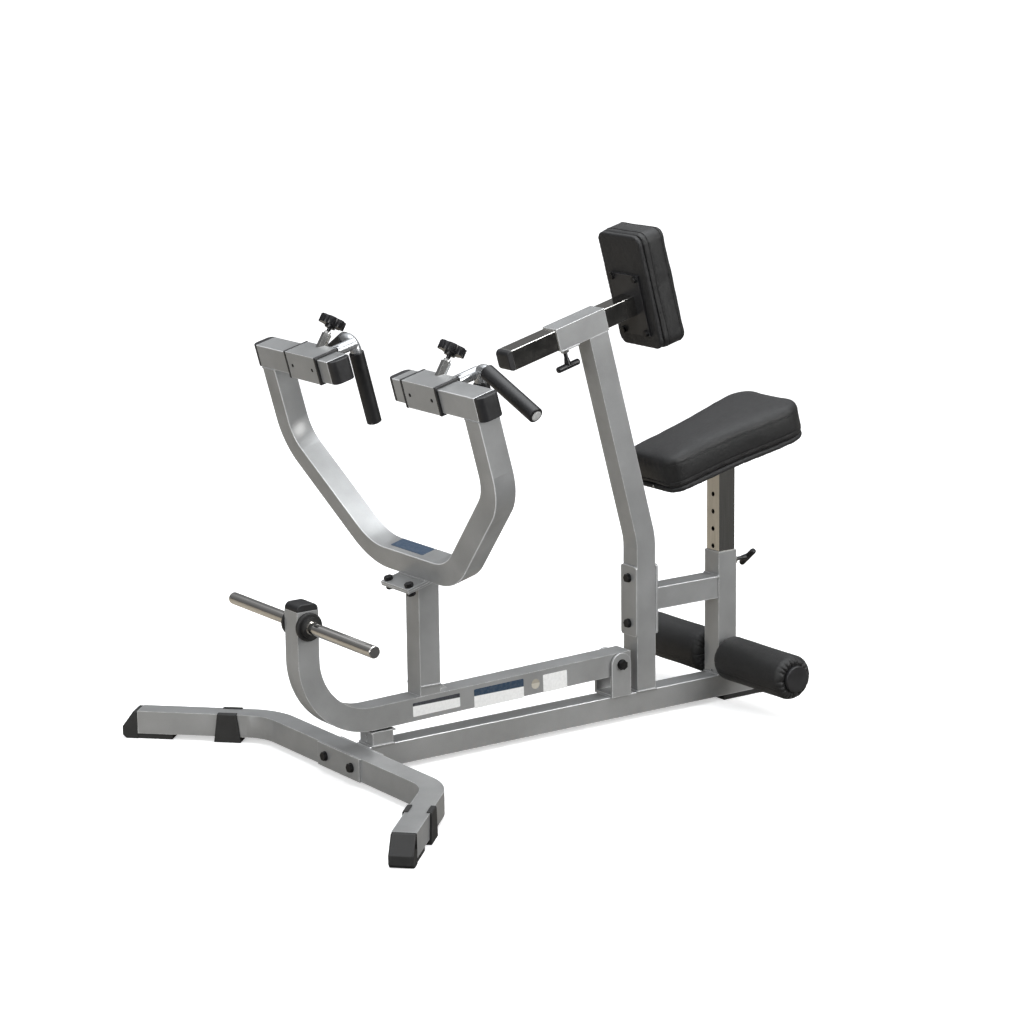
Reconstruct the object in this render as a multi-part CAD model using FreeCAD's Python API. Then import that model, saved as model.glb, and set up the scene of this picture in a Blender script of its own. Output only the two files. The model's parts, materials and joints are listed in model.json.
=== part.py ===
import FreeCAD, Part
import math
import os

os.makedirs("parts", exist_ok=True)

V = FreeCAD.Vector

# ---------------------------------------------------------------------------
# Plate-loaded seated row machine.  Millimetres, +Z up, floor at Z = 0.
# +X runs along the base towards the seat, -X towards the weight horn.
# The model is drawn with X = 0 on the front face of the main upright and is
# moved along X on export, so that the origin is under the middle of the machine.
# ---------------------------------------------------------------------------
CENTRE_X = -279.5

# stock
TUBE = 50.8
HALF = TUBE / 2
WALL = 3.0
POST = 44.45
POST_HALF = POST / 2
POST_WALL = 2.5
SLIDE_GAP = 0.3
RUN_GAP = 0.05
TILT = 15.0

# base
FOOT_H = 12.0
BEAM_Z = FOOT_H + HALF
BEAM_TOP = FOOT_H + TUBE
BEAM_REAR = 355.0
CROSS_X = -740.1
CROSS_CORNER_Y = 327.0
LEG_ANGLE = 45.0
LEG_LEN = 299.4
CROSS_BEND = 120.0
JOINT_T = 5.0
JOINT_HALF_W = 83.0
JOINT_BOLT_Y = 52.0

# pivot and swing arm
PIVOT_X = -50.0
PIVOT_Z = 136.6
EAR_R = 26.0
EAR_T = 6.0
EAR_GAP = 2.0
PIVOT_R = 6.0
PIVOT_BUSH_R = 11.0
SWING_REAR = -19.4
SWING_SLOPE = 1.15
SWING_BEND = 150.0
HORN_X = -849.6
WPOST_TOP = 381.3
HORN_Z = 348.6
HORN_R = 13.0
HORN_HALF = 283.0
ARM_X = -552.0

# yoke, drawn in its own frame: x behind it, y across, z up along its lean
YOKE_X = -665.9
YOKE_Z = 845.8
YOKE_TOP_Y = 393.6
YOKE_BEND_Z = -195.0
YOKE_LOW_Y = 154.7
YOKE_LOW_Z = -419.6
YOKE_BEND = 110.0
YOKE_LOW_BEND = 150.0
FLANGE_T = 5.0
FLANGE_HALF_X = 74.0
FLANGE_HALF_Y = 53.0
FLANGE_BOLT_X = 61.0
FLANGE_BOLT_Y = 40.0

# top tubes and handle carriages
RAIL_IN = 126.4
RAIL_OUT = 421.7
CAP_LEN = 18.0
CARR_Y = 230.0
CARR_HALF = 30.0
CARR_LEN = 116.0
CARR_WALL = 3.0
LINER_FLANGE = 7.0
LINER_OUT = 31.0
LINER_IN_LEN = 30.0
HANDLE_R = 12.7
HANDLE_D = 110.0
GRIP_R = 16.5

# main upright and chest support
UP_X = HALF
UP_BEND_Z = 409.8
UP_BEND = 150.0
SLEEVE_X = -208.4
SLEEVE_Z = 878.5
SLEEVE_LEN = 133.0
CHEST_FRONT = -119.5
CHEST_BACK = 217.0
PLATE_T = 6.0
CHEST_KNOB_X = 25.5
PAD_W = 155.0
PAD_LOW = -104.0
PAD_HIGH = 163.0
PAD_FACE = 296.0
PAD_CORNER = 22.0
PAD_EDGE = 11.0
BOARD_T = 12.0

# seat support
SEAT_X = 257.0
SEAT_TUBE_TOP = 350.4
FRAME_Z = 269.8
SEAT_Z = 641.8
SEAT_TOP = 9.0
SEAT_LOW = -62.0
SEAT_FRONT = -221.0
SEAT_BACK = 164.0
SEAT_FRONT_W = 83.5
SEAT_BACK_W = 118.0
SEAT_FRONT_CORNER = 34.0
SEAT_BACK_CORNER = 56.0
SEAT_EDGE = 15.0
SEAT_POST_LOW = 229.0
HOLE_R = 5.5
HOLE_PITCH = 40.0
PIN_Z = 320.8

# foam rollers
ROLL_Z = 103.0
ROLL_R = 51.0
ROLL_IN = 30.0
ROLL_OUT = 264.0
ROLL_BAR_R = 12.7


def box(x0, x1, y0, y1, z0, z1):
    return Part.makeBox(x1 - x0, y1 - y0, z1 - z0, V(x0, y0, z0))


def bar(centre, radius, length, axis):
    """A cylinder that starts at centre and runs along axis."""
    return Part.makeCylinder(radius, length, V(*centre), V(*axis))


def tilted(shape, x, z):
    """Moves a shape from a frame that leans back by TILT to the machine's frame."""
    moved = shape.copy()
    turn = FreeCAD.Rotation(V(0, 1, 0), -TILT)
    moved.Placement = FreeCAD.Placement(V(x, 0, z), turn).multiply(moved.Placement)
    return moved


def mirrored(shape):
    return shape.mirror(V(0, 0, 0), V(0, 1, 0))


def offset_side(points, radii, shift):
    """Edges of a centre line moved sideways by shift, with its bends as arcs."""
    edges = []
    last = None
    count = len(points)
    for i in range(count):
        here = V(*points[i], 0)
        if i > 0:
            back = (here - V(*points[i - 1], 0)).normalize()
        if i < count - 1:
            ahead = (V(*points[i + 1], 0) - here).normalize()
        if i == 0 or i == count - 1:
            way = ahead if i == 0 else back
            end = here + V(-way.y, way.x, 0) * shift
            if last is not None:
                edges.append(Part.makeLine(last, end))
            last = end
            continue
        turn = math.atan2(back.x * ahead.y - back.y * ahead.x, back.dot(ahead))
        side = 1 if turn > 0 else -1
        radius = radii[i]
        reach = radius * math.tan(abs(turn) / 2)
        start = here - back * reach
        centre = start + V(-back.y, back.x, 0) * radius * side
        out = radius - side * shift
        first = centre + V(back.y, -back.x, 0) * out * side
        final = centre + V(ahead.y, -ahead.x, 0) * out * side
        middle = centre + (first + final - centre * 2).normalize() * out
        edges.append(Part.makeLine(last, first))
        edges.append(Part.Arc(first, middle, final).toShape())
        last = final
    return edges


def band(points, radii, half, depth):
    """A bent bar of rectangular section, drawn in XY and depth thick about Z = 0."""
    left = offset_side(points, radii, half)
    right = offset_side(points, radii, -half)
    ends = []
    for pick in (0, -1):
        a = left[pick].Vertexes[pick].Point
        b = right[pick].Vertexes[pick].Point
        ends.append(Part.makeLine(a, b))
    wire = Part.Wire(Part.__sortEdges__(left + right + ends))
    solid = Part.Face(wire).extrude(V(0, 0, depth))
    solid.translate(V(0, 0, -depth / 2))
    return solid


def bent_tube(points, radii):
    """A bent square tube, open at both ends."""
    outer = band(points, radii, HALF, TUBE)
    longer = [list(p) for p in points]
    for end, near in ((0, 1), (-1, -2)):
        a = V(*points[end], 0)
        b = V(*points[near], 0)
        a = a + (a - b).normalize() * 2
        longer[end] = [a.x, a.y]
    bore = band(longer, radii, HALF - WALL, TUBE - 2 * WALL)
    return outer, outer.cut(bore)


def stand_xz(shape):
    """Turns a shape drawn in XY so that its Y becomes Z."""
    turned = shape.copy()
    turned.rotate(V(0, 0, 0), V(1, 0, 0), 90)
    return turned


def stand_yz(shape):
    """Turns a shape drawn in XY so that its X becomes Y and its Y becomes Z."""
    turned = stand_xz(shape)
    turned.rotate(V(0, 0, 0), V(0, 0, 1), 90)
    return turned


def straight_tube(x0, x1, y0, y1, z0, z1, wall, along):
    """A rectangular tube, open along one axis."""
    grow = {"x": 2 if along == "x" else -wall, "y": 2 if along == "y" else -wall}
    grow["z"] = 2 if along == "z" else -wall
    bore = box(
        x0 - grow["x"],
        x1 + grow["x"],
        y0 - grow["y"],
        y1 + grow["y"],
        z0 - grow["z"],
        z1 + grow["z"],
    )
    return box(x0, x1, y0, y1, z0, z1).cut(bore)


def hex_bar(centre, across, length, axis):
    """A hexagonal prism that starts at centre and runs along axis."""
    radius = across / math.sqrt(3)
    corners = []
    for i in range(7):
        angle = math.radians(60 * i + 30)
        corners.append(V(radius * math.cos(angle), radius * math.sin(angle), 0))
    prism = Part.Face(Part.makePolygon(corners)).extrude(V(0, 0, length))
    prism.Placement = FreeCAD.Placement(V(*centre), FreeCAD.Rotation(V(0, 0, 1), V(*axis)))
    return prism


def bolt(start, axis, grip, radius, across, washer):
    """Hex bolt with washers and a nut: the head is on the far side of start from axis."""
    way = V(*axis)
    head_t = radius * 1.3
    nut_t = radius * 1.6
    base = V(*start)
    shank = Part.makeCylinder(radius, grip + nut_t + 3, base, way)
    disc = Part.makeCylinder(washer, 1.6, base - way * 1.6, way)
    head = hex_bar(tuple(base - way * (1.6 + head_t)), across, head_t, axis)
    lower = Part.makeCylinder(washer, 1.6, base + way * grip, way)
    nut = hex_bar(tuple(base + way * (grip + 1.6)), across, nut_t, axis)
    return shank.fuse([disc, head, lower, nut]).removeSplitter()


def round_ends(shape, radius, test):
    """Fillets the edges whose centre passes a test."""
    picked = [edge for edge in shape.Edges if test(edge.CenterOfMass)]
    return shape.makeFillet(radius, picked)


def round_pipe(points, radii, radius):
    """A round bar along a bent centre line drawn in XY."""
    edges = offset_side(points, radii, 0)
    path = Part.Wire(edges)
    start = V(*points[0], 0)
    way = (V(*points[1], 0) - start).normalize()
    ring = Part.Wire(Part.Circle(start, way, radius).toShape())
    return path.makePipeShell([ring], True, True)


def smooth_cap(length, half, radius, small=2.0):
    """A moulded end cap that points along +Z: square, and rounded over along Y, less across."""
    cap = box(-half, half, -half, half, 0, length)
    cap = round_ends(cap, radius, lambda c: c.z > length - 0.01 and abs(c.x) > half - 0.01)
    return round_ends(cap, small, lambda c: c.z > length / 2 and abs(c.y) > half - 0.01)


def knob_bar(length, radius):
    """The cross bar of a T handle: a round bar with rounded ends, along X."""
    grip = Part.makeCylinder(radius, length, V(-length / 2, 0, 0), V(1, 0, 0))
    return grip.makeFillet(radius * 0.7, [e for e in grip.Edges if e.Closed])


def t_handle(tip, reach, pin_r, bar_len, bar_r):
    """A pull pin along +Z whose tip is at tip and whose cross bar is at reach."""
    stem = Part.makeCylinder(pin_r, reach - tip, V(0, 0, tip), V(0, 0, 1))
    neck = Part.makeCone(bar_r * 0.75, bar_r * 1.15, 16, V(0, 0, reach - 18), V(0, 0, 1))
    cross = knob_bar(bar_len, bar_r)
    cross.translate(V(0, 0, reach))
    return stem.fuse([neck, cross]).removeSplitter()


parts = {}


def add(name, shape):
    parts[name] = shape


def group(name, solids):
    parts[name] = Part.makeCompound(solids)


# ---------------------------------------------------------------------------
# base frame
# ---------------------------------------------------------------------------
leg = math.radians(LEG_ANGLE)
leg_end_x = CROSS_X - LEG_LEN * math.sin(leg)
leg_end_y = CROSS_CORNER_Y + LEG_LEN * math.cos(leg)
cross_path = [
    (leg_end_x, -leg_end_y),
    (CROSS_X, -CROSS_CORNER_Y),
    (CROSS_X, CROSS_CORNER_Y),
    (leg_end_x, leg_end_y),
]
cross_tube = bent_tube(cross_path, [0, CROSS_BEND, CROSS_BEND, 0])[1]
cross_tube.translate(V(0, 0, BEAM_Z))

beam_front = CROSS_X + HALF + JOINT_T
beam = straight_tube(beam_front, BEAM_REAR, -HALF, HALF, FOOT_H, BEAM_TOP, WALL, "x")
add("base_beam", beam)

plate_front = box(
    CROSS_X - HALF - JOINT_T, CROSS_X - HALF, -JOINT_HALF_W, JOINT_HALF_W, FOOT_H, BEAM_TOP
)
plate_back = box(
    CROSS_X + HALF, beam_front, -JOINT_HALF_W, JOINT_HALF_W, FOOT_H, BEAM_TOP
)
JOINT_BOLT_R = 5.0
joint_grip = TUBE + 2 * JOINT_T
joint_bolts = []
for y in (-JOINT_BOLT_Y, JOINT_BOLT_Y):
    start = (CROSS_X - HALF - JOINT_T, y, BEAM_Z)
    joint_bolts.append(bolt(start, (1, 0, 0), joint_grip, JOINT_BOLT_R, 17, 10.5))
    hole = bar((start[0] - 5, y, BEAM_Z), JOINT_BOLT_R, joint_grip + 20, (1, 0, 0))
    cross_tube = cross_tube.cut(hole)
    plate_front = plate_front.cut(hole)
    plate_back = plate_back.cut(hole)
add("cross_tube", cross_tube)
group("joint_plates", [plate_front, plate_back])
group("joint_bolts", joint_bolts)


def leg_frame(shape, along):
    """Moves a shape drawn along +X to the -Y leg, starting at a distance from its end."""
    moved = shape.copy()
    moved.rotate(V(0, 0, 0), V(0, 0, 1), 90 - LEG_ANGLE)
    x = leg_end_x + along * math.sin(leg)
    y = -leg_end_y + along * math.cos(leg)
    moved.translate(V(x, y, 0))
    return moved


# moulded end foot: closes the tube, stands on the floor and runs back under the tube
SOLE_LEN = 78.0
SOLE_INSET = 2.0
PLUG_LEN = 18.0
WEDGE_TOP = 9.0
WEDGE_LEN = 36.0
WEDGE_NOSE = 26.0
WEDGE_HEEL = 7.0
FOOT_EDGE = 4.0


def wedge_block():
    """The part of an end foot outside its tube: it slopes out towards the floor, along -X."""
    side = [
        V(0, -HALF, 0),
        V(0, -HALF, BEAM_TOP),
        V(-WEDGE_TOP, -HALF, BEAM_TOP),
        V(-WEDGE_LEN, -HALF, WEDGE_NOSE),
        V(-WEDGE_LEN, -HALF, WEDGE_HEEL),
        V(WEDGE_HEEL - WEDGE_LEN, -HALF, 0),
        V(0, -HALF, 0),
    ]
    block = Part.Face(Part.makePolygon(side)).extrude(V(0, TUBE, 0))
    return round_ends(block, FOOT_EDGE, lambda c: c.x < -0.01 and 0.01 < c.z < BEAM_TOP + 0.01)


def end_plug(z_low):
    """The part of an end foot pushed into its tube, and the sole that runs back under it."""
    sole = box(0, SOLE_LEN, SOLE_INSET - HALF, HALF - SOLE_INSET, 0, z_low)
    inner = HALF - WALL
    plug = box(0, PLUG_LEN, -inner, inner, z_low + WALL, z_low + TUBE - WALL)
    return sole, plug


end_foot = wedge_block().fuse(end_plug(FOOT_H)).removeSplitter()
end_foot = leg_frame(end_foot, 0)
group("end_feet", [end_foot, mirrored(end_foot)])

# saddle foot: a rubber strap that grips the tube from below, wider at the floor.
# The two straps were pushed on by hand and sit at different places on their legs.
SADDLE_AT_LEFT = 205.0
SADDLE_AT_RIGHT = 142.0
SADDLE_TOP_HALF = 21.5
SADDLE_LOW_HALF = 30.5
SADDLE_T = 5.0
SADDLE_LIP = 7.0
SADDLE_LIP_T = 2.5
saddle_top = BEAM_TOP + SADDLE_LIP_T
saddle_side = [
    V(-SADDLE_LOW_HALF, -HALF - SADDLE_T, 0),
    V(-SADDLE_TOP_HALF, -HALF - SADDLE_T, saddle_top),
    V(SADDLE_TOP_HALF, -HALF - SADDLE_T, saddle_top),
    V(SADDLE_LOW_HALF, -HALF - SADDLE_T, 0),
    V(-SADDLE_LOW_HALF, -HALF - SADDLE_T, 0),
]
saddle = Part.Face(Part.makePolygon(saddle_side)).extrude(V(0, TUBE + 2 * SADDLE_T, 0))
saddle = round_ends(
    saddle, SADDLE_T - 1, lambda c: abs(c.y) > HALF + SADDLE_T - 0.01 and c.z > BEAM_TOP
)
saddle = saddle.cut(box(-TUBE, TUBE, -HALF, HALF, FOOT_H, BEAM_TOP))
saddle = saddle.cut(box(-TUBE, TUBE, SADDLE_LIP - HALF, HALF - SADDLE_LIP, FOOT_H, 2 * BEAM_TOP))
group(
    "saddle_feet",
    [leg_frame(saddle, SADDLE_AT_RIGHT), mirrored(leg_frame(saddle, SADDLE_AT_LEFT))],
)

END_LEN = 15.0
END_ROUND = 9.0
REAR_FOOT_LEN = 105.0
rear_block = box(BEAM_REAR, BEAM_REAR + END_LEN, -HALF, HALF, 0, BEAM_TOP)
rear_block = round_ends(rear_block, END_ROUND, lambda c: c.x > BEAM_REAR + END_LEN - 0.01)
rear_low = SOLE_INSET - HALF
rear_sole = box(BEAM_REAR - REAR_FOOT_LEN, BEAM_REAR, rear_low, -rear_low, 0, FOOT_H)
rear_plug = box(
    BEAM_REAR - PLUG_LEN, BEAM_REAR, -HALF + WALL, HALF - WALL, FOOT_H + WALL, BEAM_TOP - WALL
)
add("rear_foot", rear_block.fuse([rear_sole, rear_plug]).removeSplitter())

# stop under the swing arm
STOP_X0 = -699.0
STOP_X1 = -648.2
STOP_TUBE_TOP = 90.3
STOP_PLATE_TOP = 93.3
STOP_TOP = 97.6
stop = straight_tube(STOP_X0, STOP_X1, -HALF, HALF, BEAM_TOP, STOP_TUBE_TOP, WALL, "z")
for z in (BEAM_TOP + 9, BEAM_TOP + 19):
    stop = stop.cut(bar((STOP_X0 - 1, 0, z), 2.2, WALL + 2, (1, 0, 0)))
stop = stop.fuse(box(STOP_X0 - 3, STOP_X1 + 7, -HALF, HALF, STOP_TUBE_TOP, STOP_PLATE_TOP))
add("stop_post", stop.removeSplitter())
bumper = box(STOP_X0 - 2, STOP_X1 - 6, -HALF + 3, HALF - 3, STOP_PLATE_TOP, STOP_TOP)
add("stop_bumper", round_ends(bumper, 1.5, lambda c: c.z > STOP_TOP - 0.01))

# pivot bracket: a U of plate standing on the base beam
ear_in = HALF + EAR_GAP
ear_out = ear_in + EAR_T
ears = []
for side in (-1, 1):
    y0 = min(side * ear_in, side * ear_out)
    ear = box(PIVOT_X - EAR_R, PIVOT_X + EAR_R, y0, y0 + EAR_T, BEAM_TOP, PIVOT_Z)
    ears.append(ear.fuse(bar((PIVOT_X, y0, PIVOT_Z), EAR_R, EAR_T, (0, 1, 0))))
web = box(PIVOT_X - EAR_R, PIVOT_X + EAR_R, -ear_out, ear_out, BEAM_TOP, BEAM_TOP + EAR_T)
bracket = web.fuse(ears).removeSplitter()
pivot_hole = bar((PIVOT_X, -60, PIVOT_Z), PIVOT_R, 120, (0, 1, 0))
add("pivot_bracket", bracket.cut(pivot_hole))
pivot = bolt((PIVOT_X, -ear_out, PIVOT_Z), (0, 1, 0), 2 * ear_out, PIVOT_R, 19, 12)
add("pivot_bolt", pivot)

# ---------------------------------------------------------------------------
# main upright, seat frame and chest sleeve
# ---------------------------------------------------------------------------
lean = math.radians(TILT)
up_top = (UP_X - 700 * math.sin(lean), UP_BEND_Z + 700 * math.cos(lean))
up_path = [(UP_X, BEAM_TOP), (UP_X, UP_BEND_Z), up_top]
upright = stand_xz(bent_tube(up_path, [0, UP_BEND, 0])[1])
above_sleeve = tilted(box(-300, 600, -100, 100, -HALF, 400), SLEEVE_X, SLEEVE_Z)
upright = upright.cut(above_sleeve)

UP_PLATE_T = 5.0
UP_PLATE_HALF_Y = 28.5
UP_PLATE_HALF_Z = 80.0
UP_BOLT_Z = 52.0
UP_BOLT_R = 5.0
UP_PLATE_CORNER = 6.0


def is_plate_corner(c):
    across = abs(abs(c.y) - UP_PLATE_HALF_Y) < 0.1
    return across and abs(abs(c.z - FRAME_Z) - UP_PLATE_HALF_Z) < 0.1


up_plates = []
for x in (-UP_PLATE_T, TUBE):
    plate = box(
        x,
        x + UP_PLATE_T,
        -UP_PLATE_HALF_Y,
        UP_PLATE_HALF_Y,
        FRAME_Z - UP_PLATE_HALF_Z,
        FRAME_Z + UP_PLATE_HALF_Z,
    )
    up_plates.append(round_ends(plate, UP_PLATE_CORNER, is_plate_corner))
up_bolts = []
for dz in (-UP_BOLT_Z, UP_BOLT_Z):
    start = (-UP_PLATE_T, 0, FRAME_Z + dz)
    up_bolts.append(bolt(start, (1, 0, 0), TUBE + 2 * UP_PLATE_T, UP_BOLT_R, 17, 10.5))
    hole = bar((-20, 0, FRAME_Z + dz), UP_BOLT_R, 120, (1, 0, 0))
    upright = upright.cut(hole)
    up_plates = [plate.cut(hole) for plate in up_plates]
add("main_upright", upright)
group("upright_plates", up_plates)
group("upright_bolts", up_bolts)

sleeve_bore = POST_HALF + SLIDE_GAP
sleeve = box(0, SLEEVE_LEN, -HALF, HALF, -HALF, HALF)
sleeve = sleeve.cut(box(-1, SLEEVE_LEN + 1, -sleeve_bore, sleeve_bore, -sleeve_bore, sleeve_bore))
PULL_R = 4.5
BOSS_R = 9.0
BOSS_LEN = 14.0
sleeve = sleeve.cut(bar((CHEST_KNOB_X, 0, -HALF - 1), PULL_R + RUN_GAP, 6, (0, 0, 1)))
add("chest_sleeve", tilted(sleeve, SLEEVE_X, SLEEVE_Z))
boss = bar((CHEST_KNOB_X, 0, -HALF - BOSS_LEN), BOSS_R, BOSS_LEN, (0, 0, 1))
boss = boss.cut(bar((CHEST_KNOB_X, 0, -HALF - BOSS_LEN - 1), PULL_R + RUN_GAP, 20, (0, 0, 1)))
add("chest_pin_boss", tilted(boss, SLEEVE_X, SLEEVE_Z))

seat_bore = POST_HALF + SLIDE_GAP
seat_tube = box(SEAT_X - HALF, SEAT_X + HALF, -HALF, HALF, BEAM_TOP, SEAT_TUBE_TOP)
seat_tube = seat_tube.cut(
    box(SEAT_X - seat_bore, SEAT_X + seat_bore, -seat_bore, seat_bore, BEAM_TOP - 1, SEAT_TUBE_TOP + 1)
)
seat_tube = seat_tube.cut(bar((SEAT_X, -60, ROLL_Z), ROLL_BAR_R, 120, (0, 1, 0)))
seat_tube = seat_tube.cut(bar((SEAT_X, 0, PIN_Z), PULL_R + RUN_GAP, 40, (1, 0, 0)))
seat_tube = seat_tube.cut(bar((SEAT_X - 40, 0, BEAM_TOP + 6), 3.0, 40, (1, 0, 0)))
add("seat_tube", seat_tube)
seat_boss = bar((SEAT_X + HALF, 0, PIN_Z), 11.0, 16.0, (1, 0, 0))
seat_boss = seat_boss.cut(bar((SEAT_X, 0, PIN_Z), PULL_R + RUN_GAP, 60, (1, 0, 0)))
add("seat_pin_boss", seat_boss)
add(
    "seat_frame_tube",
    straight_tube(
        TUBE + UP_PLATE_T, SEAT_X - HALF, -HALF, HALF, FRAME_Z - HALF, FRAME_Z + HALF, WALL, "x"
    ),
)

# roller bar through the seat tube, with a retaining disc plugged into each end
bar_end = ROLL_OUT + 1.0
roller_bar = bar((SEAT_X, -bar_end, ROLL_Z), ROLL_BAR_R, 2 * bar_end, (0, 1, 0))
roller_bar = roller_bar.cut(bar((SEAT_X, -300, ROLL_Z), ROLL_BAR_R - 2.0, 600, (0, 1, 0)))
add("roller_bar", roller_bar)
DISC_R = 30.0
DISC_T = 8.0
disc = bar((SEAT_X, bar_end, ROLL_Z), DISC_R, DISC_T, (0, 1, 0))
disc = round_ends(disc, 2.5, lambda c: c.y > bar_end + DISC_T - 0.01)
disc = disc.fuse(bar((SEAT_X, bar_end - 25, ROLL_Z), ROLL_BAR_R - 2.0, 25, (0, 1, 0)))
disc = disc.removeSplitter()
group("roller_caps", [disc, mirrored(disc)])

foam = bar((SEAT_X, ROLL_IN, ROLL_Z), ROLL_R, ROLL_OUT - ROLL_IN, (0, 1, 0))
foam = foam.makeFillet(14.0, [e for e in foam.Edges if e.Closed])
foam = foam.cut(bar((SEAT_X, 0, ROLL_Z), ROLL_BAR_R + RUN_GAP, 400, (0, 1, 0)))
add("roller_left", foam)
add("roller_right", mirrored(foam))

# ---------------------------------------------------------------------------
# chest support: post, cap, plate, board and cushion, drawn along the sleeve
# ---------------------------------------------------------------------------
post = straight_tube(
    CHEST_FRONT, CHEST_BACK, -POST_HALF, POST_HALF, -POST_HALF, POST_HALF, POST_WALL, "x"
)
add("chest_post", tilted(post, SLEEVE_X, SLEEVE_Z))
POST_CAP = 13.0
cap = smooth_cap(POST_CAP, POST_HALF, 10.0)
post_in = POST_HALF - POST_WALL
cap = cap.fuse(box(-post_in, post_in, -post_in, post_in, -20, 0)).removeSplitter()
cap.rotate(V(0, 0, 0), V(0, 1, 0), -90)
cap.translate(V(CHEST_FRONT, 0, 0))
add("chest_post_cap", tilted(cap, SLEEVE_X, SLEEVE_Z))

CHEST_PLATE_Y = 50.0
CHEST_PLATE_Z = 70.0
CHEST_BOLT_Y = 40.0
CHEST_BOLT_Z = 62.5
CHEST_BOLT_R = 4.0
board_x0 = CHEST_BACK + PLATE_T
board_x1 = board_x0 + BOARD_T
plate = box(CHEST_BACK, board_x0, -CHEST_PLATE_Y, CHEST_PLATE_Y, -CHEST_PLATE_Z, CHEST_PLATE_Z)
board = box(board_x0, board_x1, -PAD_W / 2, PAD_W / 2, PAD_LOW, PAD_HIGH)
pad = box(board_x1, PAD_FACE, -PAD_W / 2, PAD_W / 2, PAD_LOW, PAD_HIGH)


def is_pad_corner(c):
    across = abs(abs(c.y) - PAD_W / 2) < 0.01
    return across and (abs(c.z - PAD_LOW) < 0.1 or abs(c.z - PAD_HIGH) < 0.1)


board = round_ends(board, PAD_CORNER, is_pad_corner)
pad = round_ends(pad, PAD_CORNER, is_pad_corner)
pad = round_ends(pad, PAD_EDGE, lambda c: c.x > PAD_FACE - 0.01)
chest_bolts = []
for y in (-CHEST_BOLT_Y, CHEST_BOLT_Y):
    for z in (-CHEST_BOLT_Z, CHEST_BOLT_Z):
        head = hex_bar((CHEST_BACK - 6.6, y, z), 13, 5, (1, 0, 0))
        washer = bar((CHEST_BACK - 1.6, y, z), 8.0, 1.6, (1, 0, 0))
        shank = bar((CHEST_BACK, y, z), CHEST_BOLT_R, PLATE_T + BOARD_T - 2, (1, 0, 0))
        chest_bolts.append(shank.fuse([washer, head]).removeSplitter())
        hole = bar((CHEST_BACK - 5, y, z), CHEST_BOLT_R, 5 + PLATE_T + BOARD_T - 2, (1, 0, 0))
        plate = plate.cut(hole)
        board = board.cut(hole)
add("chest_plate", tilted(plate, SLEEVE_X, SLEEVE_Z))
add("chest_board", tilted(board, SLEEVE_X, SLEEVE_Z))
add("chest_cushion", tilted(pad, SLEEVE_X, SLEEVE_Z))
group("chest_bolts", [tilted(b, SLEEVE_X, SLEEVE_Z) for b in chest_bolts])

BAR_LEN = 61.0
BAR_R = 7.0
CHEST_REACH = 71.0
chest_knob = t_handle(POST_HALF + 0.6, CHEST_REACH, PULL_R, BAR_LEN, BAR_R)
chest_knob.rotate(V(0, 0, 0), V(1, 0, 0), 180)
chest_knob.translate(V(CHEST_KNOB_X, 0, 0))
add("chest_pin", tilted(chest_knob, SLEEVE_X, SLEEVE_Z))

# ---------------------------------------------------------------------------
# seat: post with its row of holes, plate, board and cushion
# ---------------------------------------------------------------------------
SEAT_PLATE_T = 5.0
SEAT_BOARD_T = 12.0
seat_board_low = SEAT_LOW - SEAT_BOARD_T
seat_plate_low = seat_board_low - SEAT_PLATE_T
seat_post = straight_tube(
    SEAT_X - POST_HALF,
    SEAT_X + POST_HALF,
    -POST_HALF,
    POST_HALF,
    SEAT_POST_LOW,
    SEAT_Z,
    POST_WALL,
    "z",
)
above_plate = tilted(box(-300, 300, -100, 100, seat_plate_low, 300), SEAT_X, SEAT_Z)
seat_post = seat_post.cut(above_plate)
for i in range(-1, 5):
    z = PIN_Z + HOLE_PITCH * i
    seat_post = seat_post.cut(bar((SEAT_X - 40, 0, z), HOLE_R, 80, (1, 0, 0)))
add("seat_post", seat_post)

SEAT_PLATE_X = 62.0
SEAT_PLATE_Y = 55.0
SEAT_BOLT_X = 48.0
SEAT_BOLT_Y = 40.0
seat_plate = box(
    -SEAT_PLATE_X, SEAT_PLATE_X, -SEAT_PLATE_Y, SEAT_PLATE_Y, seat_plate_low, seat_board_low
)


def seat_outline(z0, z1):
    corners = [
        (SEAT_FRONT, -SEAT_FRONT_W),
        (SEAT_BACK, -SEAT_BACK_W),
        (SEAT_BACK, SEAT_BACK_W),
        (SEAT_FRONT, SEAT_FRONT_W),
    ]
    ring = [V(x, y, z0) for x, y in corners + corners[:1]]
    solid = Part.Face(Part.makePolygon(ring)).extrude(V(0, 0, z1 - z0))
    middle = (z0 + z1) / 2
    front = round_ends(
        solid, SEAT_FRONT_CORNER, lambda c: abs(c.z - middle) < 0.1 and c.x < SEAT_FRONT + 1
    )
    return round_ends(
        front, SEAT_BACK_CORNER, lambda c: abs(c.z - middle) < 0.1 and c.x > SEAT_BACK - 1
    )


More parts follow.
